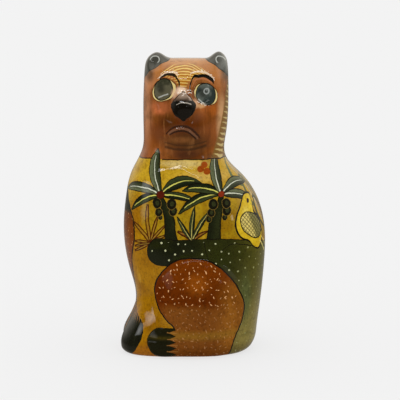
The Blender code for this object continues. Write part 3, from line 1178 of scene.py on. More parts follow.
# %% The far palm
def far_palm(under, place, load):
    """One palm for the side that nobody sees first."""
    trunk_line = ((112, -2.0), (128, 0.0), (141, -0.5), (152, -3.0), (158, -4.0))
    half_widths = ((112, 6.0), (128, 4.4), (141, 3.6), (152, 2.5), (158, 2.0))
    fronds = (((34, 150), 6.0, 4.4, RIB), ((-42, 148), -5.0, 4.4, RIB), ((30, 172), 5.5, 4.4, RIB),
              ((-38, 170), -6.0, 4.4, SHEEN_RIB), ((-8, 194), 3.5, 5.0, SHEEN_RIB))
    coconuts = ((-8.0, 142.0, 3.6), (-9.0, 150.0, 4.4), (3.5, 150.0, 4.2))
    return palm(under, place, load, (-4.0, 158.0), trunk_line, half_widths, coconuts, fronds)


paint = layer(far_palm, paint, far)

# %% [markdown]
# ## Cactus, thigh and legs
# A dark cactus hill runs across the flank and round the rump, its left end a round lobe. It is near
# black at the lobe and fades to a dull olive towards the rump, paler low down as a painted reflection,
# and its dots are set one by one, so they are scattered but never touch. The thigh in front of it is a
# rust oval crowded with cream touches, lighter low down and in a band over the foot as painted
# reflections, and the foot below it is painted as part of the same shape. The same edges serve both
# flanks.

# %% Cactus hill
HILL_TOP = ((-40, 117.2), (0, 117.3), (36, 116.5), (60, 113.5), (78, 111.0), (110, 109.0), (150, 109.0))


def cactus_hill(under, place, load):
    """The hill with its dots: near black at the lobe, olive towards the rump, paler low down as painted
    reflection.
    """
    top = follow(place[0], HILL_TOP)
    hill = (0 - place[0]).most(place[1] - top)
    away = bar(place, (-33, 104.4), (60, 101), 12.8).least(hill)
    green = lay(slip(22, 24, 9), slip(42, 44, 12), place[0].rising(-20, 20))
    green = lay(green, slip(84, 80, 24), place[0].rising(30, 76))
    # paler low on the rump: painted reflection
    green = lay(green, slip(132, 118, 58), place[1].rising(90, 20) * place[0].rising(10, 50) * 0.95)
    green = glaze(green, place, (53, 58), (12, 36), slip(80, 88, 46), 0.75)
    green = lay(green, slip(84, 70, 28), place[1].rising(15, 4) * 0.7)
    green = lay(green, slip(40, 44, 8), load.rising(0.5, 0.35) * place[0].rising(90, 40) * 0.5)
    green = lay(green, slip(20, 24, 8), load.rising(0.42, 0.62) * place[0].rising(70, -10) * 0.7)
    dots = flecks(place, 9.2, (0.8, 0.76), 0.6, seed=3.3) * (away + 2.5).inside()
    dot_colour = lay(slip(198, 200, 156), slip(150, 148, 92), place[0].rising(20, 60))
    green = lay(green, dot_colour, dots * place[1].rising(40, 100).times_plus(0.4, 0.45))
    under = lay(under, BLACK, (away - 0.8).inside())
    return lay(under, green, away.inside())


paint = layer(cactus_hill, paint, flank)


# %% Lines on the hill
def hill_lines(under, place, load):
    """A crease in the hill below the right palm, and the upper edge of a cactus pad."""
    crease_line = drawn_line(place[1], place[0], ((98, 14.6), (107, 11.8), (115, 11.2)), 0.8)
    pad_line = drawn_line(place[0], place[1], ((27, 106), (36, 111.4), (46, 111.6), (66, 107)), (0.6, 1.2))
    return lay(under, BLACK, crease_line.most(pad_line) * 0.85)


paint = layer(hill_lines, paint, near)

# %% Thigh
THIGH = ((-175, 39.1), (-157, 34.3), (-141, 31.9), (-123, 43.0), (-113, 56.5), (-90, 62.0), (-60, 57.6),
         (-44, 48.3), (-23, 46.2), (-1, 44.9), (16, 42.3), (47, 40.7), (77, 44.4), (101, 47.3),
         (118, 49.1), (137, 48.7), (163, 46.3), (175, 42.6))
FOOT_LEVEL = 15.8           # the height of the hind foot's middle line
FLECK = slip(232, 178, 122)


def thigh(under, place, load):
    """The rust thigh and the foot that runs on from it, with cream touches; lighter low down as painted
    reflection.
    """
    away = outline(place, THIGH_MIDDLE, THIGH)
    away = away.least(bar(place, (-24, FOOT_LEVEL), (0, FOOT_LEVEL), 12.8))
    rust = lay(slip(108, 48, 3), slip(92, 38, 2), place[1].rising(90, 62))
    # lighter below the thigh's middle: painted reflection of the floor
    rust = lay(rust, slip(122, 72, 24), place[1].rising(57, 48) * 0.75)
    rust = lay(rust, slip(150, 94, 28), place[0].rising(18, 40) * place[1].rising(86, 62) * 0.75)
    rust = lay(rust, slip(92, 34, 2), place[0].rising(-20, -38) * 0.6)
    rust = lay(rust, slip(80, 30, 2), load.rising(0.48, 0.66) * 0.35)
    # a lighter band across the foot: painted reflection
    rust = lay(rust, slip(134, 96, 30), (abs(place[1] - 24) - 4).inside(7) * 0.6)
    rust = lay(rust, slip(88, 44, 6), place[1].rising(16, 4) * 0.7)
    rust = glaze(rust, place, (4, 74), (16, 15), slip(148, 78, 14), 0.6)
    high = place[1].rising(44, 62)
    touches = flecks(place, 8.2, (0.4, 1.15), 0.7) * high.times_plus(0.6, 0.24)
    small = flecks(place, 6.6, (0.36, 0.75), 0.75, seed=8.1) * high.times_plus(0.4, 0.2)
    rust = lay(rust, FLECK, touches.most(small) * (away + 2.0).inside())
    under = lay(under, BLACK, (away - 1.4).inside())
    return lay(under, rust, away.inside())


paint = layer(thigh, paint, flank)

# %% [markdown]
# ## Paws and foreleg
# Both paws are black. The hind paw's right edge is cut into teeth, and pale hairs run between them, as
# if the claws had been combed out of the wet slip. The teeth are a zigzag: the height over the step
# between claws counts from 0 to 1 again and again, folding it makes it swing to and fro, and that
# pushes the paw's edge in and out. The foreleg is orange up to its dark shoulder, behind one black line.

# %% Hind paw
PAW = slip(18, 19, 9)
CLAW_STEP = 6.25            # from one tooth of the paw's edge to the next


def hind_paw(under, place, load):
    """A black paw whose right edge ends in teeth, with pale hairs combed between them and a painted
    reflection across it.
    """
    gap = 1 - abs(((place[1] - 4.5) / CLAW_STEP).part() * 2 - 1)
    paw = bar(place, (-30.2, FOOT_LEVEL), (-10, FOOT_LEVEL), 14.9)
    away = paw.most(place[0] - gap.times_plus(-8.0, -16.6))
    black = lay(PAW, slip(30, 28, 12), load)
    # an olive band across the paw: painted reflection
    black = lay(black, slip(74, 62, 14), (abs(place[1] - 21) - 0.5).inside(6) * 0.9)
    under = lay(under, black, away.inside())
    hair = ((1 - gap) * CLAW_STEP / 2 - 0.45).most(abs(place[0] + 20.5) - 5.5)
    hair = hair.most(abs(place[1] - FOOT_LEVEL) - 13)
    return lay(under, slip(150, 104, 50), hair.inside(0.5) * 0.6)


paint = layer(hind_paw, paint, flank)

# %% Foreleg
FORELEG = ((0, -62), (20, -66), (45.6, -70), (65, -72), (81.6, -68.6), (92, -68.0), (102.6, -65.8),
           (113.5, -62.7), (121, -62.0), (131.7, -63.6), (142.7, -68.6), (150, -72.5), (159, -77.5),
           (166, -84), (174, -110), (180, -150))


def foreleg(under, place, load):
    """The orange foreleg with sparse touches, dark at the shoulder, edged by one black line."""
    away = place[0] - follow(place[1], FORELEG)
    orange = lay(slip(114, 58, 8), slip(90, 40, 4), load.rising(0.4, 0.65))
    orange = lay(orange, slip(206, 150, 90), flecks(place, 6.5, (0.45, 0.6), 0.6, seed=5.1) * 0.7)
    orange = lay(orange, slip(28, 30, 16), place[1].rising(137, 144))
    orange = lay(orange, slip(140, 98, 54), place[1].rising(56, 44) * 0.8)
    under = lay(under, BLACK, (abs(away) - 1.0).inside())
    return lay(under, orange, (away + 0.9).inside())


paint = layer(foreleg, paint, flank)

# %% Front paw
FRONT_PAW = ((-150, 22), (-90, 22), (-57, 20.2), (-25, 18.8), (5, 22.1), (20, 23.4), (35, 24.4),
             (59, 23.3), (86, 27.0), (120, 24), (160, 22))


def front_paw(under, place, load):
    """A dark teardrop, with pale hairs combed down into its top."""
    away = outline(place, (-72, 20), FRONT_PAW)
    under = lay(under, lay(PAW, slip(44, 46, 28), load.rising(0.4, 0.65) * 0.6), away.inside())
    comb = abs((place[0] / 3.1 + place[1] * 0.02).part() * 2 - 1)
    hair = (comb * 1.5 - place[1].rising(28, 46)).most(away - 1)
    return lay(under, slip(150, 104, 60), hair.inside(0.5) * place[1].rising(30, 38) * 0.8)


paint = layer(front_paw, paint, flank)

# %% [markdown]
# ## The bird
# A fat yellow bird stands on the hill at the turn of the flank and looks towards the palms. It is one
# outline in black with yellow inside it, then an oval wing hatched like a net, cream in front and
# grey-green behind. It is painted after the hill and the leaves, because nothing crosses it.

# %% Bird
BIRD = ((-151, 14.4), (-122, 14.7), (-86, 17.9), (-63, 25.8), (-48, 24.4), (-36, 23.1), (-17, 18.7),
        (6, 15.0), (35, 13.6), (62, 13.4), (72, 18.0), (82, 27.0), (91, 30.2), (103, 27.0), (114, 22.5),
        (131, 18.4), (157, 15.9), (178, 15.2))


def wing(under, place):
    """An oval wing hatched like a net, cream in front and grey-green behind."""
    away = oval(place, (61.5, 129.3), (15.6, 10.2), -38)
    hatch = abs(((place[0] + place[1]) / 3.9).part() * 2 - 1) * 1.4 - 0.4
    cross = abs(((place[0] - place[1]) / 4.6).part() * 2 - 1) * 1.6 - 0.35
    lean = place[0] + (place[1] - 129) * 0.4
    feathers = lay(slip(222, 200, 110), slip(128, 122, 66), lean.rising(59, 64))
    feathers = lay(feathers, slip(62, 50, 16), hatch.least(cross).inside(0.4) * 0.8)
    under = lay(under, BLACK, (away - 1.1).inside())
    return lay(under, feathers, away.inside())


def bird(under, place, load):
    """A plump yellow bird with two pale feathers in its tail, a wing and a dark eye."""
    body = outline(place, (58, 130), BIRD)
    yellow = lay(slip(222, 190, 42), slip(194, 154, 16), load.rising(0.42, 0.6) * 0.7)
    yellow = glaze(yellow, place, (54, 140), (7, 12), slip(232, 210, 90), 0.7)
    under = lay(under, BLACK, (body - 1.9).inside())
    under = lay(under, yellow, body.inside())
    for start, end in (((73, 113), (86, 101)), ((77, 116.5), (88, 107))):
        under = lay(under, slip(222, 206, 120), bar(place, start, end, 0.55).inside())
    under = wing(under, place)
    return spot(under, place, (57.9, 153.0), (1.7, 2.3), slip(48, 22, 6))


paint = layer(bird, paint, near)


# %% [markdown]
# ## Fur and the neck line
# The head is all terracotta, with a dark line where it meets the body. Short cream wedges, combed in
# columns from the edge of the face round the back, stand for fur. Their field ends on a curve on either
# side of the face. To draw hundreds of wedges from one, the height is divided by the step between them
# and only what is left after the whole number is kept: it counts from 0 to 1 again in every step.

# %% Fur
FUR_EDGE = ((190, 17.0), (198, 20.0), (220, 28.5), (250, 36.5), (262, 40.0), (276, 49.0))
FAR_FUR_EDGE = ((190, -12.0), (215, -17.0), (245, -25.0), (276, -38.0))
FUR_GROUND = slip(126, 90, 40)
FUR = slip(196, 172, 112)
FUR_STEP = 5.1              # from one wedge up to the next
FUR_COLUMN = 19.0           # from one column round to the next
FUR_TOP = 276               # the fur stops below the crown


def fur(under, place, load, far_across, back):
    """Cream wedges in rows, from the edge of the face round the back of the head."""
    behind_near = follow(place[1], FUR_EDGE) - place[0]
    behind_far = (follow(place[1], FAR_FUR_EDGE) - far_across).most(-1 - back)
    away = behind_near.least(behind_far).most(NECK - place[1]).most(place[1] - FUR_TOP)
    column = ((0 - behind_near) / FUR_COLUMN).part()
    row = ((place[1] + column * 4.0 + load * 5.0) / FUR_STEP).part()
    wedge = abs(row * 2 - 1) - column.times_plus(0.6, 0.1) - load.times_plus(0.8, -0.4)
    strokes = lay(FUR_GROUND, FUR, wedge.inside(0.35) * column.rising(0.0, 0.25) * column.rising(1.0, 0.9))
    return lay(under, strokes, away.inside(2.5))


paint = layer(fur, paint, near, far[0], body_y)


# %% Neck line
def neck_line(under, place, load):
    """A thin dark line round the neck, which stops where the left palm's frond crosses it."""
    line = (abs(place[1] - NECK) - 0.55).inside()
    clear_of_palm = (abs(place[0] + 36) - 4.5).rising(0, 1)
    return lay(under, slip(44, 22, 8), line * clear_of_palm)


paint = layer(neck_line, paint, near)

# %% [markdown]
# ## The face
# Left and right are as we see them. Cream arcs fan over the forehead and close in between the brows.
# The eyes are dark mottled discs, each tipped inwards in its cream almond, with painted highlights in
# them. Dark bowed brows lie between a pink line below and a cream one above, the cream paled further
# as a painted highlight. The nose is a black wedge under a greyish bridge, with painted highlights
# round both, and the mouth is a frown over painted shade on the chin. All of it is drawn with the
# curves and outlines from before, so that moving one station bends one edge and leaves the others
# alone.

# %% Forehead arcs
ARC_STEP = 2.75             # from one arc to the next


def forehead(under, place, load):
    """Golden ground with cream arcs: round at the top, flattening to bars between the brows."""
    side = place[0] + 9.5
    bend = place[1].rising(258, 288) * 0.029
    level = bend.times_plus(side * side, place[1])
    fan = oval(place, (-8.5, 262.5), (29.0, 24.0)).most(258.5 - place[1])
    between = follow(place[1], ((256, 5.0), (268, 5.5), (273, 13.0), (278, 28.0), (289, 29.0)))
    away = fan.most(abs(side + 1.0) - between)
    under = lay(under, slip(172, 108, 24), (away + 1.5).inside(4.0) * place[1].rising(290, 284) * 0.9)
    line = (abs((level / ARC_STEP).part() * 2 - 1) - 0.38) * 1.15
    share = away.inside(1.5) * place[1].rising(264, 279).times_plus(0.3, 0.58)
    return lay(under, slip(234, 200, 112), line.inside(0.4) * share)


paint = layer(forehead, paint, near)

# %% Eyes
def eye(under, place, middle, reach, turn, white, iris, ring, crescent):
    """A cream oval, a dark disc over it, and two painted highlights in that.

    white is the cream oval's (middle, reach, turn), crescent is the two ends of a painted highlight
    stroke, and ring is the middle of a painted highlight ring, or None."""
    under = spot(under, place, white[0], white[1], slip(222, 200, 132), slip(84, 42, 14), 0.8, white[2])
    under = spot(under, place, middle, reach, iris, slip(20, 18, 10), 0.9, turn)
    under = glaze(under, place, (middle[0] - 2.5, middle[1] + 1.5), (7, 8), slip(26, 28, 20), 0.7)
    # painted highlights on the disc: a light stroke, and a light ring where one is given
    under = lay(under, slip(206, 208, 200), bar(place, *crescent, 0.6).inside(0.8) * 0.6)
    if not ring:
        return under
    return lay(under, slip(176, 180, 174), (abs(oval(place, ring, (2.3, 2.6))) - 0.65).inside(0.7) * 0.6)


def eyes(under, place, load):
    """The two eyes, their dark slip worn thin in patches; only the right one has a painted highlight ring.
    """
    wear = load.rising(0.47, 0.57)
    left_iris = lay(slip(52, 52, 36), slip(88, 84, 64), wear)
    right_iris = lay(slip(42, 50, 46), slip(88, 94, 86), wear)
    under = eye(under, place, (-29.8, 261.6), (11.0, 8.9), 55, ((-29.2, 260.6), (13.2, 9.8), 28),
                left_iris, None, ((-34.5, 253.6), (-25.0, 257.4)))
    return eye(under, place, (12.6, 257.2), (10.6, 9.4), -58, ((12.9, 257.2), (12.8, 9.6), -28),
               right_iris, (13.2, 260.4), ((5.0, 252.6), (11.0, 247.4)))


paint = layer(eyes, paint, near)

# %% Lines of the brows
RIGHT_DARK = ((-2.6, 267.0), (-0.8, 272.0), (3.6, 274.2), (8.5, 275.0), (13.5, 273.9), (17.7, 271.8),
              (20.6, 269.2))
RIGHT_UNDER = ((-1.4, 264.4), (0.8, 268.8), (4.8, 271.6), (10.5, 271.9), (15.5, 270.0), (18.0, 268.0))
RIGHT_TOP = ((-2.5, 277.0), (3.0, 278.8), (9.0, 278.6), (15.0, 276.4), (21.0, 271.4))
LEFT_TOP = ((-34.5, 272.4), (-30.5, 275.6), (-25.5, 277.8), (-20.5, 278.6), (-15.0, 277.6))
LEFT_DARK = ((-33.5, 272.0), (-28.0, 275.2), (-22.0, 276.3), (-18.6, 275.6), (-15.7, 272.8),
             (-13.9, 268.5))
LEFT_UNDER = ((-22.5, 273.6), (-19.5, 273.4), (-17.4, 271.0), (-16.4, 268.0))
print("stations in the dark lines:", len(RIGHT_DARK), len(LEFT_DARK))


# %% Brows
def brow(under, place, under_line, dark_line, top_line, thickness, dark=BLACK):
    """A dark bowed brow with a pink line below it and a cream one above, paled as a painted highlight."""
    under = lay(under, slip(176, 108, 66), drawn_line(*place, under_line, 1.6))
    # the cream line above the brow, paled further as a painted highlight on the ridge
    under = lay(under, slip(226, 198, 166), drawn_line(*place, top_line, (1.4, 2.4), 0.8) * 0.85)
    return lay(under, dark, drawn_line(*place, dark_line, thickness))


def brows(under, place, load):
    """Both brows, and the thin lines that run down from them beside the bridge."""
    under = brow(under, place, RIGHT_UNDER, RIGHT_DARK, RIGHT_TOP, (2.6, 4.4))
    under = brow(under, place, LEFT_UNDER, LEFT_DARK, LEFT_TOP, (1.8, 3.6), slip(38, 28, 18))
    inner_right = drawn_line(place[1], place[0], ((259.0, -3.0), (264, -3.4), (269, -2.4)), 1.1)
    inner_left = drawn_line(place[1], place[0], ((264.0, -13.6), (268, -13.4), (271, -14.3)), 1.1)
    return lay(under, BLACK, inner_right.most(inner_left))


paint = layer(brows, paint, near)

# %% Nose and bridge
NOSE = ((-90, 11.0), (-75, 9.8), (-40, 9.6), (-10, 10.8), (25, 13.0), (38, 12.6), (65, 8.6), (90, 8.0),
        (115, 8.4), (140, 12.0), (155, 12.6), (190, 10.8), (220, 9.6), (255, 9.8))
NOSE_MIDDLE = (-9.4, 243.3)
BRIDGE = ((247, 12.0), (251, 9.6), (256, 5.6), (259.5, 1.0))        # its half width at each height
# painted highlights: beside the bridge, over it and under the right eye
BRIDGE_HIGHLIGHTS = (((-18.5, 258.0), (4.5, 6.5), (226, 184, 146), 0.7),
                 ((1.5, 248.5), (5.0, 6.5), (226, 178, 136), 0.8),
                 ((-11.5, 260.5), (7.5, 6.0), (238, 208, 180), 0.95),
                 ((7.5, 246.2), (7.0, 3.4), (222, 176, 122), 0.6))
# a painted highlight along the top of the nose
NOSE_HIGHLIGHT = ((-16.5, 248.4), (-12.5, 249.8), (-8.5, 250.2), (-4.5, 249.8), (-1.8, 248.4))


def nose(under, place, load):
    """Painted highlights round the bridge, the greyish bridge with painted glints, the black nose, a
    painted highlight on top.
    """
    spread = abs(place[0] - NOSE_MIDDLE[0]) - follow(place[1], BRIDGE)
    away = spread.most(248 - place[1]).most(place[1] - 260)
    under = glazes(under, place, BRIDGE_HIGHLIGHTS)
    under = lay(under, slip(30, 20, 12), (away - 0.6).inside(0.8) * 0.9)
    bridge = lay(slip(136, 112, 92), slip(30, 22, 16), place[1].rising(256.5, 251))
    # pale speckles on the bridge: painted glints
    bridge = lay(bridge, slip(204, 182, 164), load.rising(0.48, 0.56) * place[1].rising(249.5, 253) * 0.8)
    under = lay(under, bridge, (away + 0.6).inside(0.8))
    under = lay(under, slip(15, 11, 6), outline(place, NOSE_MIDDLE, NOSE).inside())
    return lay(under, slip(190, 180, 164), drawn_line(*place, NOSE_HIGHLIGHT, (0.5, 1.1)) * 0.75)


paint = layer(nose, paint, near)

# %% [markdown]
# ## Sparkle
# Under its gloss the modelled brows and bridge glint in dozens of tiny broken lights. A smooth coat over
# smooth clay can't break a light up like that, and real roughness there would dull the coat, so the
# brightest of them are touches of near-white slip. They are flecks, as on the thigh, kept to three
# narrow bands: along the brows, over the bridge and under the right eye.

# %% Sparkle
GLOW_LINE = ((-35.5, 271.5), (-31, 276.0), (-25, 278.8), (-19, 279.4), (-13.5, 276.5), (-9.5, 272.8),
             (-5.5, 275.5), (-1, 278.6), (7, 280.0), (14, 278.0), (21.5, 271.5))


def sparkle(under, place, load):
    """Painted glints: tiny touches of near white on the brows, on the bridge and under the right eye."""
    touches = flecks(place, 2.5, (0.95, 0.42), 0.8, 1.4, seed=11.0)
    along_brows = (abs(place[1] - follow(place[0], GLOW_LINE)) - 1.5).inside(1.0)
    beside_bridge = (abs(abs(place[0] + 7) - 17.5) - 11).inside(1.0)        # 6.5 to 28.5 out from it
    on_brows = along_brows * beside_bridge
    on_bridge = oval(place, (-8.5, 259.6), (7.5, 3.6)).inside(1.0)
    under_eye = bar(place, (4.6, 250.0), (14.5, 246.2), 1.3).inside(0.8)
    lit = on_brows.most(on_bridge).most(under_eye)
    return lay(under, slip(246, 234, 220), touches * lit * 0.75)


paint = layer(sparkle, paint, near)

# %% Mouth and chin
MOUTH_LINE = ((-26.6, 219.6), (-19.5, 225.2), (-10.0, 227.4), (-1.5, 224.4), (6.8, 215.6))
BAND_LINE = ((-24.5, 219.4), (-18.0, 223.2), (-10.5, 225.2), (-3.0, 222.2), (4.5, 215.4))
LIP_LINE = ((-23.0, 218.8), (-16.0, 221.8), (-9.5, 222.8), (-3.0, 219.8), (2.6, 214.6))


def mouth(under, place, load):
    """A frown of two dark lines with a paler band between them, and faint arcs of painted shade on the
    chin.
    """
    under = lay(under, slip(116, 80, 58), drawn_line(*place, BAND_LINE, (2.0, 3.2), 0.8) * 0.7)
    under = lay(under, slip(48, 24, 12), drawn_line(*place, MOUTH_LINE, (1.8, 3.0)) * 0.9)
    under = lay(under, slip(34, 14, 5), drawn_line(*place, LIP_LINE, (1.4, 2.6)) * 0.85)
    # faint dark arcs below the lip: painted shade on the chin
    for level, width in ((210.5, 1.0), (206.5, 2.4)):
        chin_shade = drawn_line(*place, ((-28, level), (-8, level - 2.5), (14, level + 1.0)), width, 1.6)
        under = lay(under, slip(44, 24, 6), chin_shade * 0.65)
    return under


paint = layer(mouth, paint, near)

# %% [markdown]
# ## Paint on the ears
# The ears are charcoal all round, with painted highlights: a pale loop in each hollow and a greyer
# outer side on the right one. They stand just where the near tape hands over to the far one, so a place
# along a tape would jump in the middle of an ear. This
# layer goes by how far a point is from the middle of the head, and how far forward, instead: those are
# the third numbers that the tapes carry.

# %% Ears in paint
EAR_LINE = ((15, 294), (18.5, 289.4), (24, 284.4), (30, 279.3), (36, 274.6), (40, 271.4), (48, 268))


def ears(under, place, load, body_x, body_y):
    """Charcoal ears with painted highlights: the outer side of the right one greyer, a pale loop in each
    hollow.
    """
    outward = abs(body_x - EARS_MIDDLE)
    beside = (length((body_y + 5) / 22, (300 - place[1]) / 34) - 1) * 22
    inwards = follow(outward, EAR_LINE) - place[1]
    away = length((inwards + 9).most(0), (beside + 9).most(0)) - 9
    under = lay(under, slip(22, 22, 12), (away - 0.5).inside())
    under = lay(under, lay(slip(50, 50, 42), slip(84, 83, 75), load), (away + 0.8).inside(1.0))
    # the greyer outer side of the right ear: painted reflection
    lighter = body_x.rising(EARS_MIDDLE + 28, EARS_MIDDLE + 38)
    under = lay(under, slip(140, 140, 132), (away + 2).inside(3) * lighter * 0.85)
    under = glaze(under, (outward, place[1]), (37, 276), (7, 12), slip(34, 38, 30), 0.7)
    # the pale loop in each hollow: painted highlight
    loop = oval((outward, place[1]), (32.2, 289.2), (4.7, 3.7), -20)
    hook = (abs(loop) - 0.5).inside(0.6) * outward.times_plus(-0.3, place[1]).rising(277, 279)
    front = body_y.rising(-5, -8)
    return lay(under, slip(200, 202, 192), hook * front * 0.75)


paint = layer(ears, paint, flank, body_x, body_y)


# %% [markdown]
# ## Bare clay and brush grain
# The underside and the worn rim that the figure stands on are bare clay. Over all the paint runs a fine
# grain, where the bristles left dark furrows in the slip. It could be a bump, but a gloss coat fills
# furrows this fine, so only their colour shows. It is fainter on the head, which is rubbed smoother.

# %% Worn foot
def worn_foot(under, place, load):
    """Bare clay where the figure stands and rubs, and a little dirt in the fuller brush loads."""
    under = lay(under, slip(176, 112, 74), (place[1] - load.times_plus(2.4, -0.5)).inside(0.8))
    return lay(under, slip(60, 34, 14), load.rising(0.62, 0.8) * 0.12)


paint = layer(worn_foot, paint, flank)


# %% Brush grain
def brush_grain(under, place, load, grain):
    """Fine dark furrows in the slip, a quarter as strong on the head."""
    amount = place[1].rising(204, 190).times_plus(0.75, 0.25)
    return lay(under, slip(24, 14, 4), grain.rising(0.46, 0.7) * amount * 0.36)


grain = Reading(noise(body_point, 420.0, 3.0, 0.65)["Fac"])
paint = layer(brush_grain, paint, flank, grain)

# %% [markdown]
# ## Gloss
# One glossy coat covers the paint. The clay under it has no shine of its own, so every reflection comes
# from the coat, which is almost smooth but never flat: it carries the slow waves of a hand brush, and
# the paint below shows faint burnishing strokes and pinholes. On the thigh and the hind paw the coat is
# thin and rubbed, and mirrors only a fifth as much, so a map drives the coat's weight. The values that
# are the same all over are set on the shader's own sockets.

# %% Coat
GLASSY = 1.5                # how strongly a glassy coat bends light
COAT_ROUGHNESS = 0.055
RUBBED_OFF = 0.8            # how much of the coat is gone from the thigh and the hind paw

shader = nodes["Principled BSDF"]
shader.inputs["IOR"].default_value = GLASSY
shader.inputs["Specular IOR Level"].default_value = 0.0
shader.inputs["Coat IOR"].default_value = GLASSY
shader.inputs["Coat Roughness"].default_value = COAT_ROUGHNESS
feed(shader.inputs["Base Color"], paint)
feed(shader.inputs["Roughness"], load.times_plus(0.25, 0.3))
rubbed = outline(flank, THIGH_MIDDLE, THIGH)
rubbed = rubbed.least(bar(flank, (-29, FOOT_LEVEL), (0, FOOT_LEVEL), 14.6)).inside(1.5)
feed(shader.inputs["Coat Weight"], rubbed.times_plus(-RUBBED_OFF, 1.0))
print("coat on the thigh:", round(1 - RUBBED_OFF, 2))


# %% Waves, burnishing and pinholes
def bump(height, strength, distance, before=None):
    """A Bump node; distance is in metres."""
    node = nodes.new("ShaderNodeBump")
    node.inputs["Strength"].default_value = strength
    node.inputs["Distance"].default_value = distance
    feed(node.inputs["Height"], height)
    if before:
        links.new(before.outputs["Normal"], node.inputs["Normal"])
    return node


wave = Reading(noise(body_point, 60.0, 2.0, 0.4)["Fac"])
fine = Reading(noise(body_point, 900.0, 2.0, 0.5)["Fac"])
base_bump = bump(fine, 0.15, 0.0002, bump(streak, 0.2, 0.0003))
coat_bump = bump(fine, 0.06, 0.0002, bump(wave, 0.22, 0.0008))
links.new(base_bump.outputs["Normal"], shader.inputs["Normal"])
links.new(coat_bump.outputs["Normal"], shader.inputs["Coat Normal"])
mesh.materials.append(finish)
print("finish done; nodes in the main tree:", len(nodes))


# %% [markdown]
# ## Floor
# The figure stands on a plain pale floor, as on a white sweep in a product studio. The floor glows by
# itself, like a light table, which keeps the shadow on it faint, and it meets the white behind it
# without a line. A lit floor alone would need a lamp so strong that it bleached the cat.

# %% Floor
PAPER_WHITE = 0.896
FLOOR_GREY = 0.18           # the part of that white which a shadow can take away


def pale_floor():
    """A plain floor that meets the backdrop without a line."""
    bpy.ops.mesh.primitive_circle_add(vertices=96, radius=60, fill_type="NGON", location=(0, 0, 0))
    floor = bpy.context.object
    floor.name = "floor"
    floor.visible_glossy = False
    material = bpy.data.materials.new("pale_floor")
    material.use_nodes = True
    shader = material.node_tree.nodes["Principled BSDF"]
    shader.inputs["Base Color"].default_value = (FLOOR_GREY, FLOOR_GREY, FLOOR_GREY, 1)
    shader.inputs["Roughness"].default_value = 1.0
    shader.inputs["Specular IOR Level"].default_value = 0.0
    shader.inputs["Emission Color"].default_value = (1, 1, 1, 1)
    shader.inputs["Emission Strength"].default_value = PAPER_WHITE - FLOOR_GREY
    floor.data.materials.append(material)
    return floor


floor = pale_floor()
print("floor, metres across:", round(floor.dimensions.x))

# %% [markdown]
# ## Light
# A gloss mirrors whatever is around it, so the room matters more than the lamps. Here everything behind
# the cat is white and the room in front of it is dim: where the coat faces us the colours stay deep,
# and at its rims it mirrors the white. The paint itself is lit evenly. The three lamps light only the
# cat, and their panels are what the sharp highlights are mirror images of: a long strip gives the bent
# glint over the chest, and a small window, close and narrow in its spread, is mirrored above the paws.

# %% Lamps
lit_by_lamps = bpy.data.collections.new("lit_by_lamps")
lit_by_lamps.objects.link(cat)


def panel(name, turn, climb, distance, size, power, aim=(0, 0, 0.15), spread=180):
    """A soft rectangular lamp that faces the figure.

    turn is how many degrees it stands to the right of the camera, and climb how many above level."""
    lamp = bpy.data.lights.new(name, "AREA")
    lamp.shape = "RECTANGLE"
    lamp.size, lamp.size_y = size
    lamp.energy = power
    lamp.spread = math.radians(spread)
    holder = bpy.data.objects.new(name, lamp)
    turn, climb = math.radians(turn), math.radians(climb)
    way = Vector((math.sin(turn) * math.cos(climb), -math.cos(turn) * math.cos(climb), math.sin(climb)))
    holder.location = Vector(aim) + way * distance
    holder.rotation_euler = way.to_track_quat("Z", "Y").to_euler()
    holder.light_linking.receiver_collection = lit_by_lamps
    holder.visible_camera = False
    bpy.context.scene.collection.objects.link(holder)


PAWS = (-0.038, -0.046, 0.040)      # where the window is mirrored, just above the paws, in metres

panel("strip_panel", -15, 36, 1.6, (1.7, 0.05), 3)
panel("window_panel", -65, 17, 0.5, (0.25, 0.18), 0.02, aim=PAWS, spread=36)
panel("small_panel", 42, 8, 1.5, (0.12, 0.12), 0.15)


# %% The room
DIM_ROOM = 0.04             # what the coat mirrors where there is nothing white
WARM_ROOM = (1.0, 0.93, 0.82, 1.0)


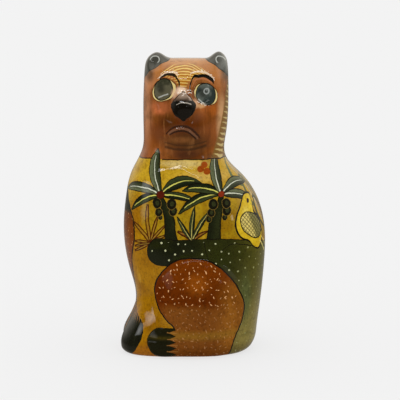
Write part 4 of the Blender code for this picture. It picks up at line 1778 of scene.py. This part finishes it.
def studio_world():
    """White paper for the eye, an even light for the paint, and a dim room for reflections."""
    world = bpy.data.worlds.new("studio")
    world.use_nodes = True
    tree = world.node_tree
    tree.nodes.clear()
    way = tree.nodes.new("ShaderNodeTexCoord").outputs["Generated"]
    parts = tree.nodes.new("ShaderNodeSeparateXYZ")
    tree.links.new(way, parts.inputs[0])
    right, behind, above = [Reading(outlet) for outlet in parts.outputs]
    paper = behind.rising(-0.1, 0.8) * above.rising(-0.1, 0.16).times_plus(0.49, 0.18)
    wall = right.rising(0.5, 1.0) * above.rising(-0.1, 0.3) * 0.4
    table = above.rising(-0.13, -0.24) * 0.12
    mirrored = paper + wall + table + above.rising(0.7, 1.0) + DIM_ROOM
    ray = tree.nodes.new("ShaderNodeLightPath")
    by_gloss, by_eye = Reading(ray.outputs["Is Glossy Ray"]), Reading(ray.outputs["Is Camera Ray"])
    strength = by_gloss.times_plus(mirrored - 1.0, 1.0)
    strength = by_eye.times_plus(PAPER_WHITE - strength, strength)
    sky = tree.nodes.new("ShaderNodeBackground")
    feed(sky.inputs["Strength"], strength)
    feed(sky.inputs["Color"], lay((1, 1, 1, 1), WARM_ROOM, by_gloss))
    output = tree.nodes.new("ShaderNodeOutputWorld")
    tree.links.new(sky.outputs[0], output.inputs[0])
    bpy.context.scene.world = world


studio_world()
bpy.context.scene.view_settings.view_transform = "Standard"
print("room:", bpy.context.scene.world.name)

# %% [markdown]
# ## Camera
# The camera looks at the near flank from eight degrees above level, through a long lens from well back,
# so that the upright sides of the body stay parallel.

# %% Camera
AIM = Vector((0.0068, 0, 0.1493))
DISTANCE = 1.4
ELEVATION = math.radians(8)
FILM_WIDTH = 36
LENS = 126

camera = bpy.data.cameras.new("camera")
camera.sensor_width = FILM_WIDTH
camera.lens = LENS
camera_holder = bpy.data.objects.new("camera", camera)
away = Vector((0, -math.cos(ELEVATION), math.sin(ELEVATION)))
camera_holder.location = AIM + away * DISTANCE
camera_holder.rotation_euler = away.to_track_quat("Z", "Y").to_euler()
bpy.context.scene.collection.objects.link(camera_holder)
bpy.context.scene.camera = camera_holder
print("camera at:", [round(part, 3) for part in camera_holder.location])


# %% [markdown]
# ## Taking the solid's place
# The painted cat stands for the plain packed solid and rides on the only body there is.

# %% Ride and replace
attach(cat, "root")
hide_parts("cat_figurine")
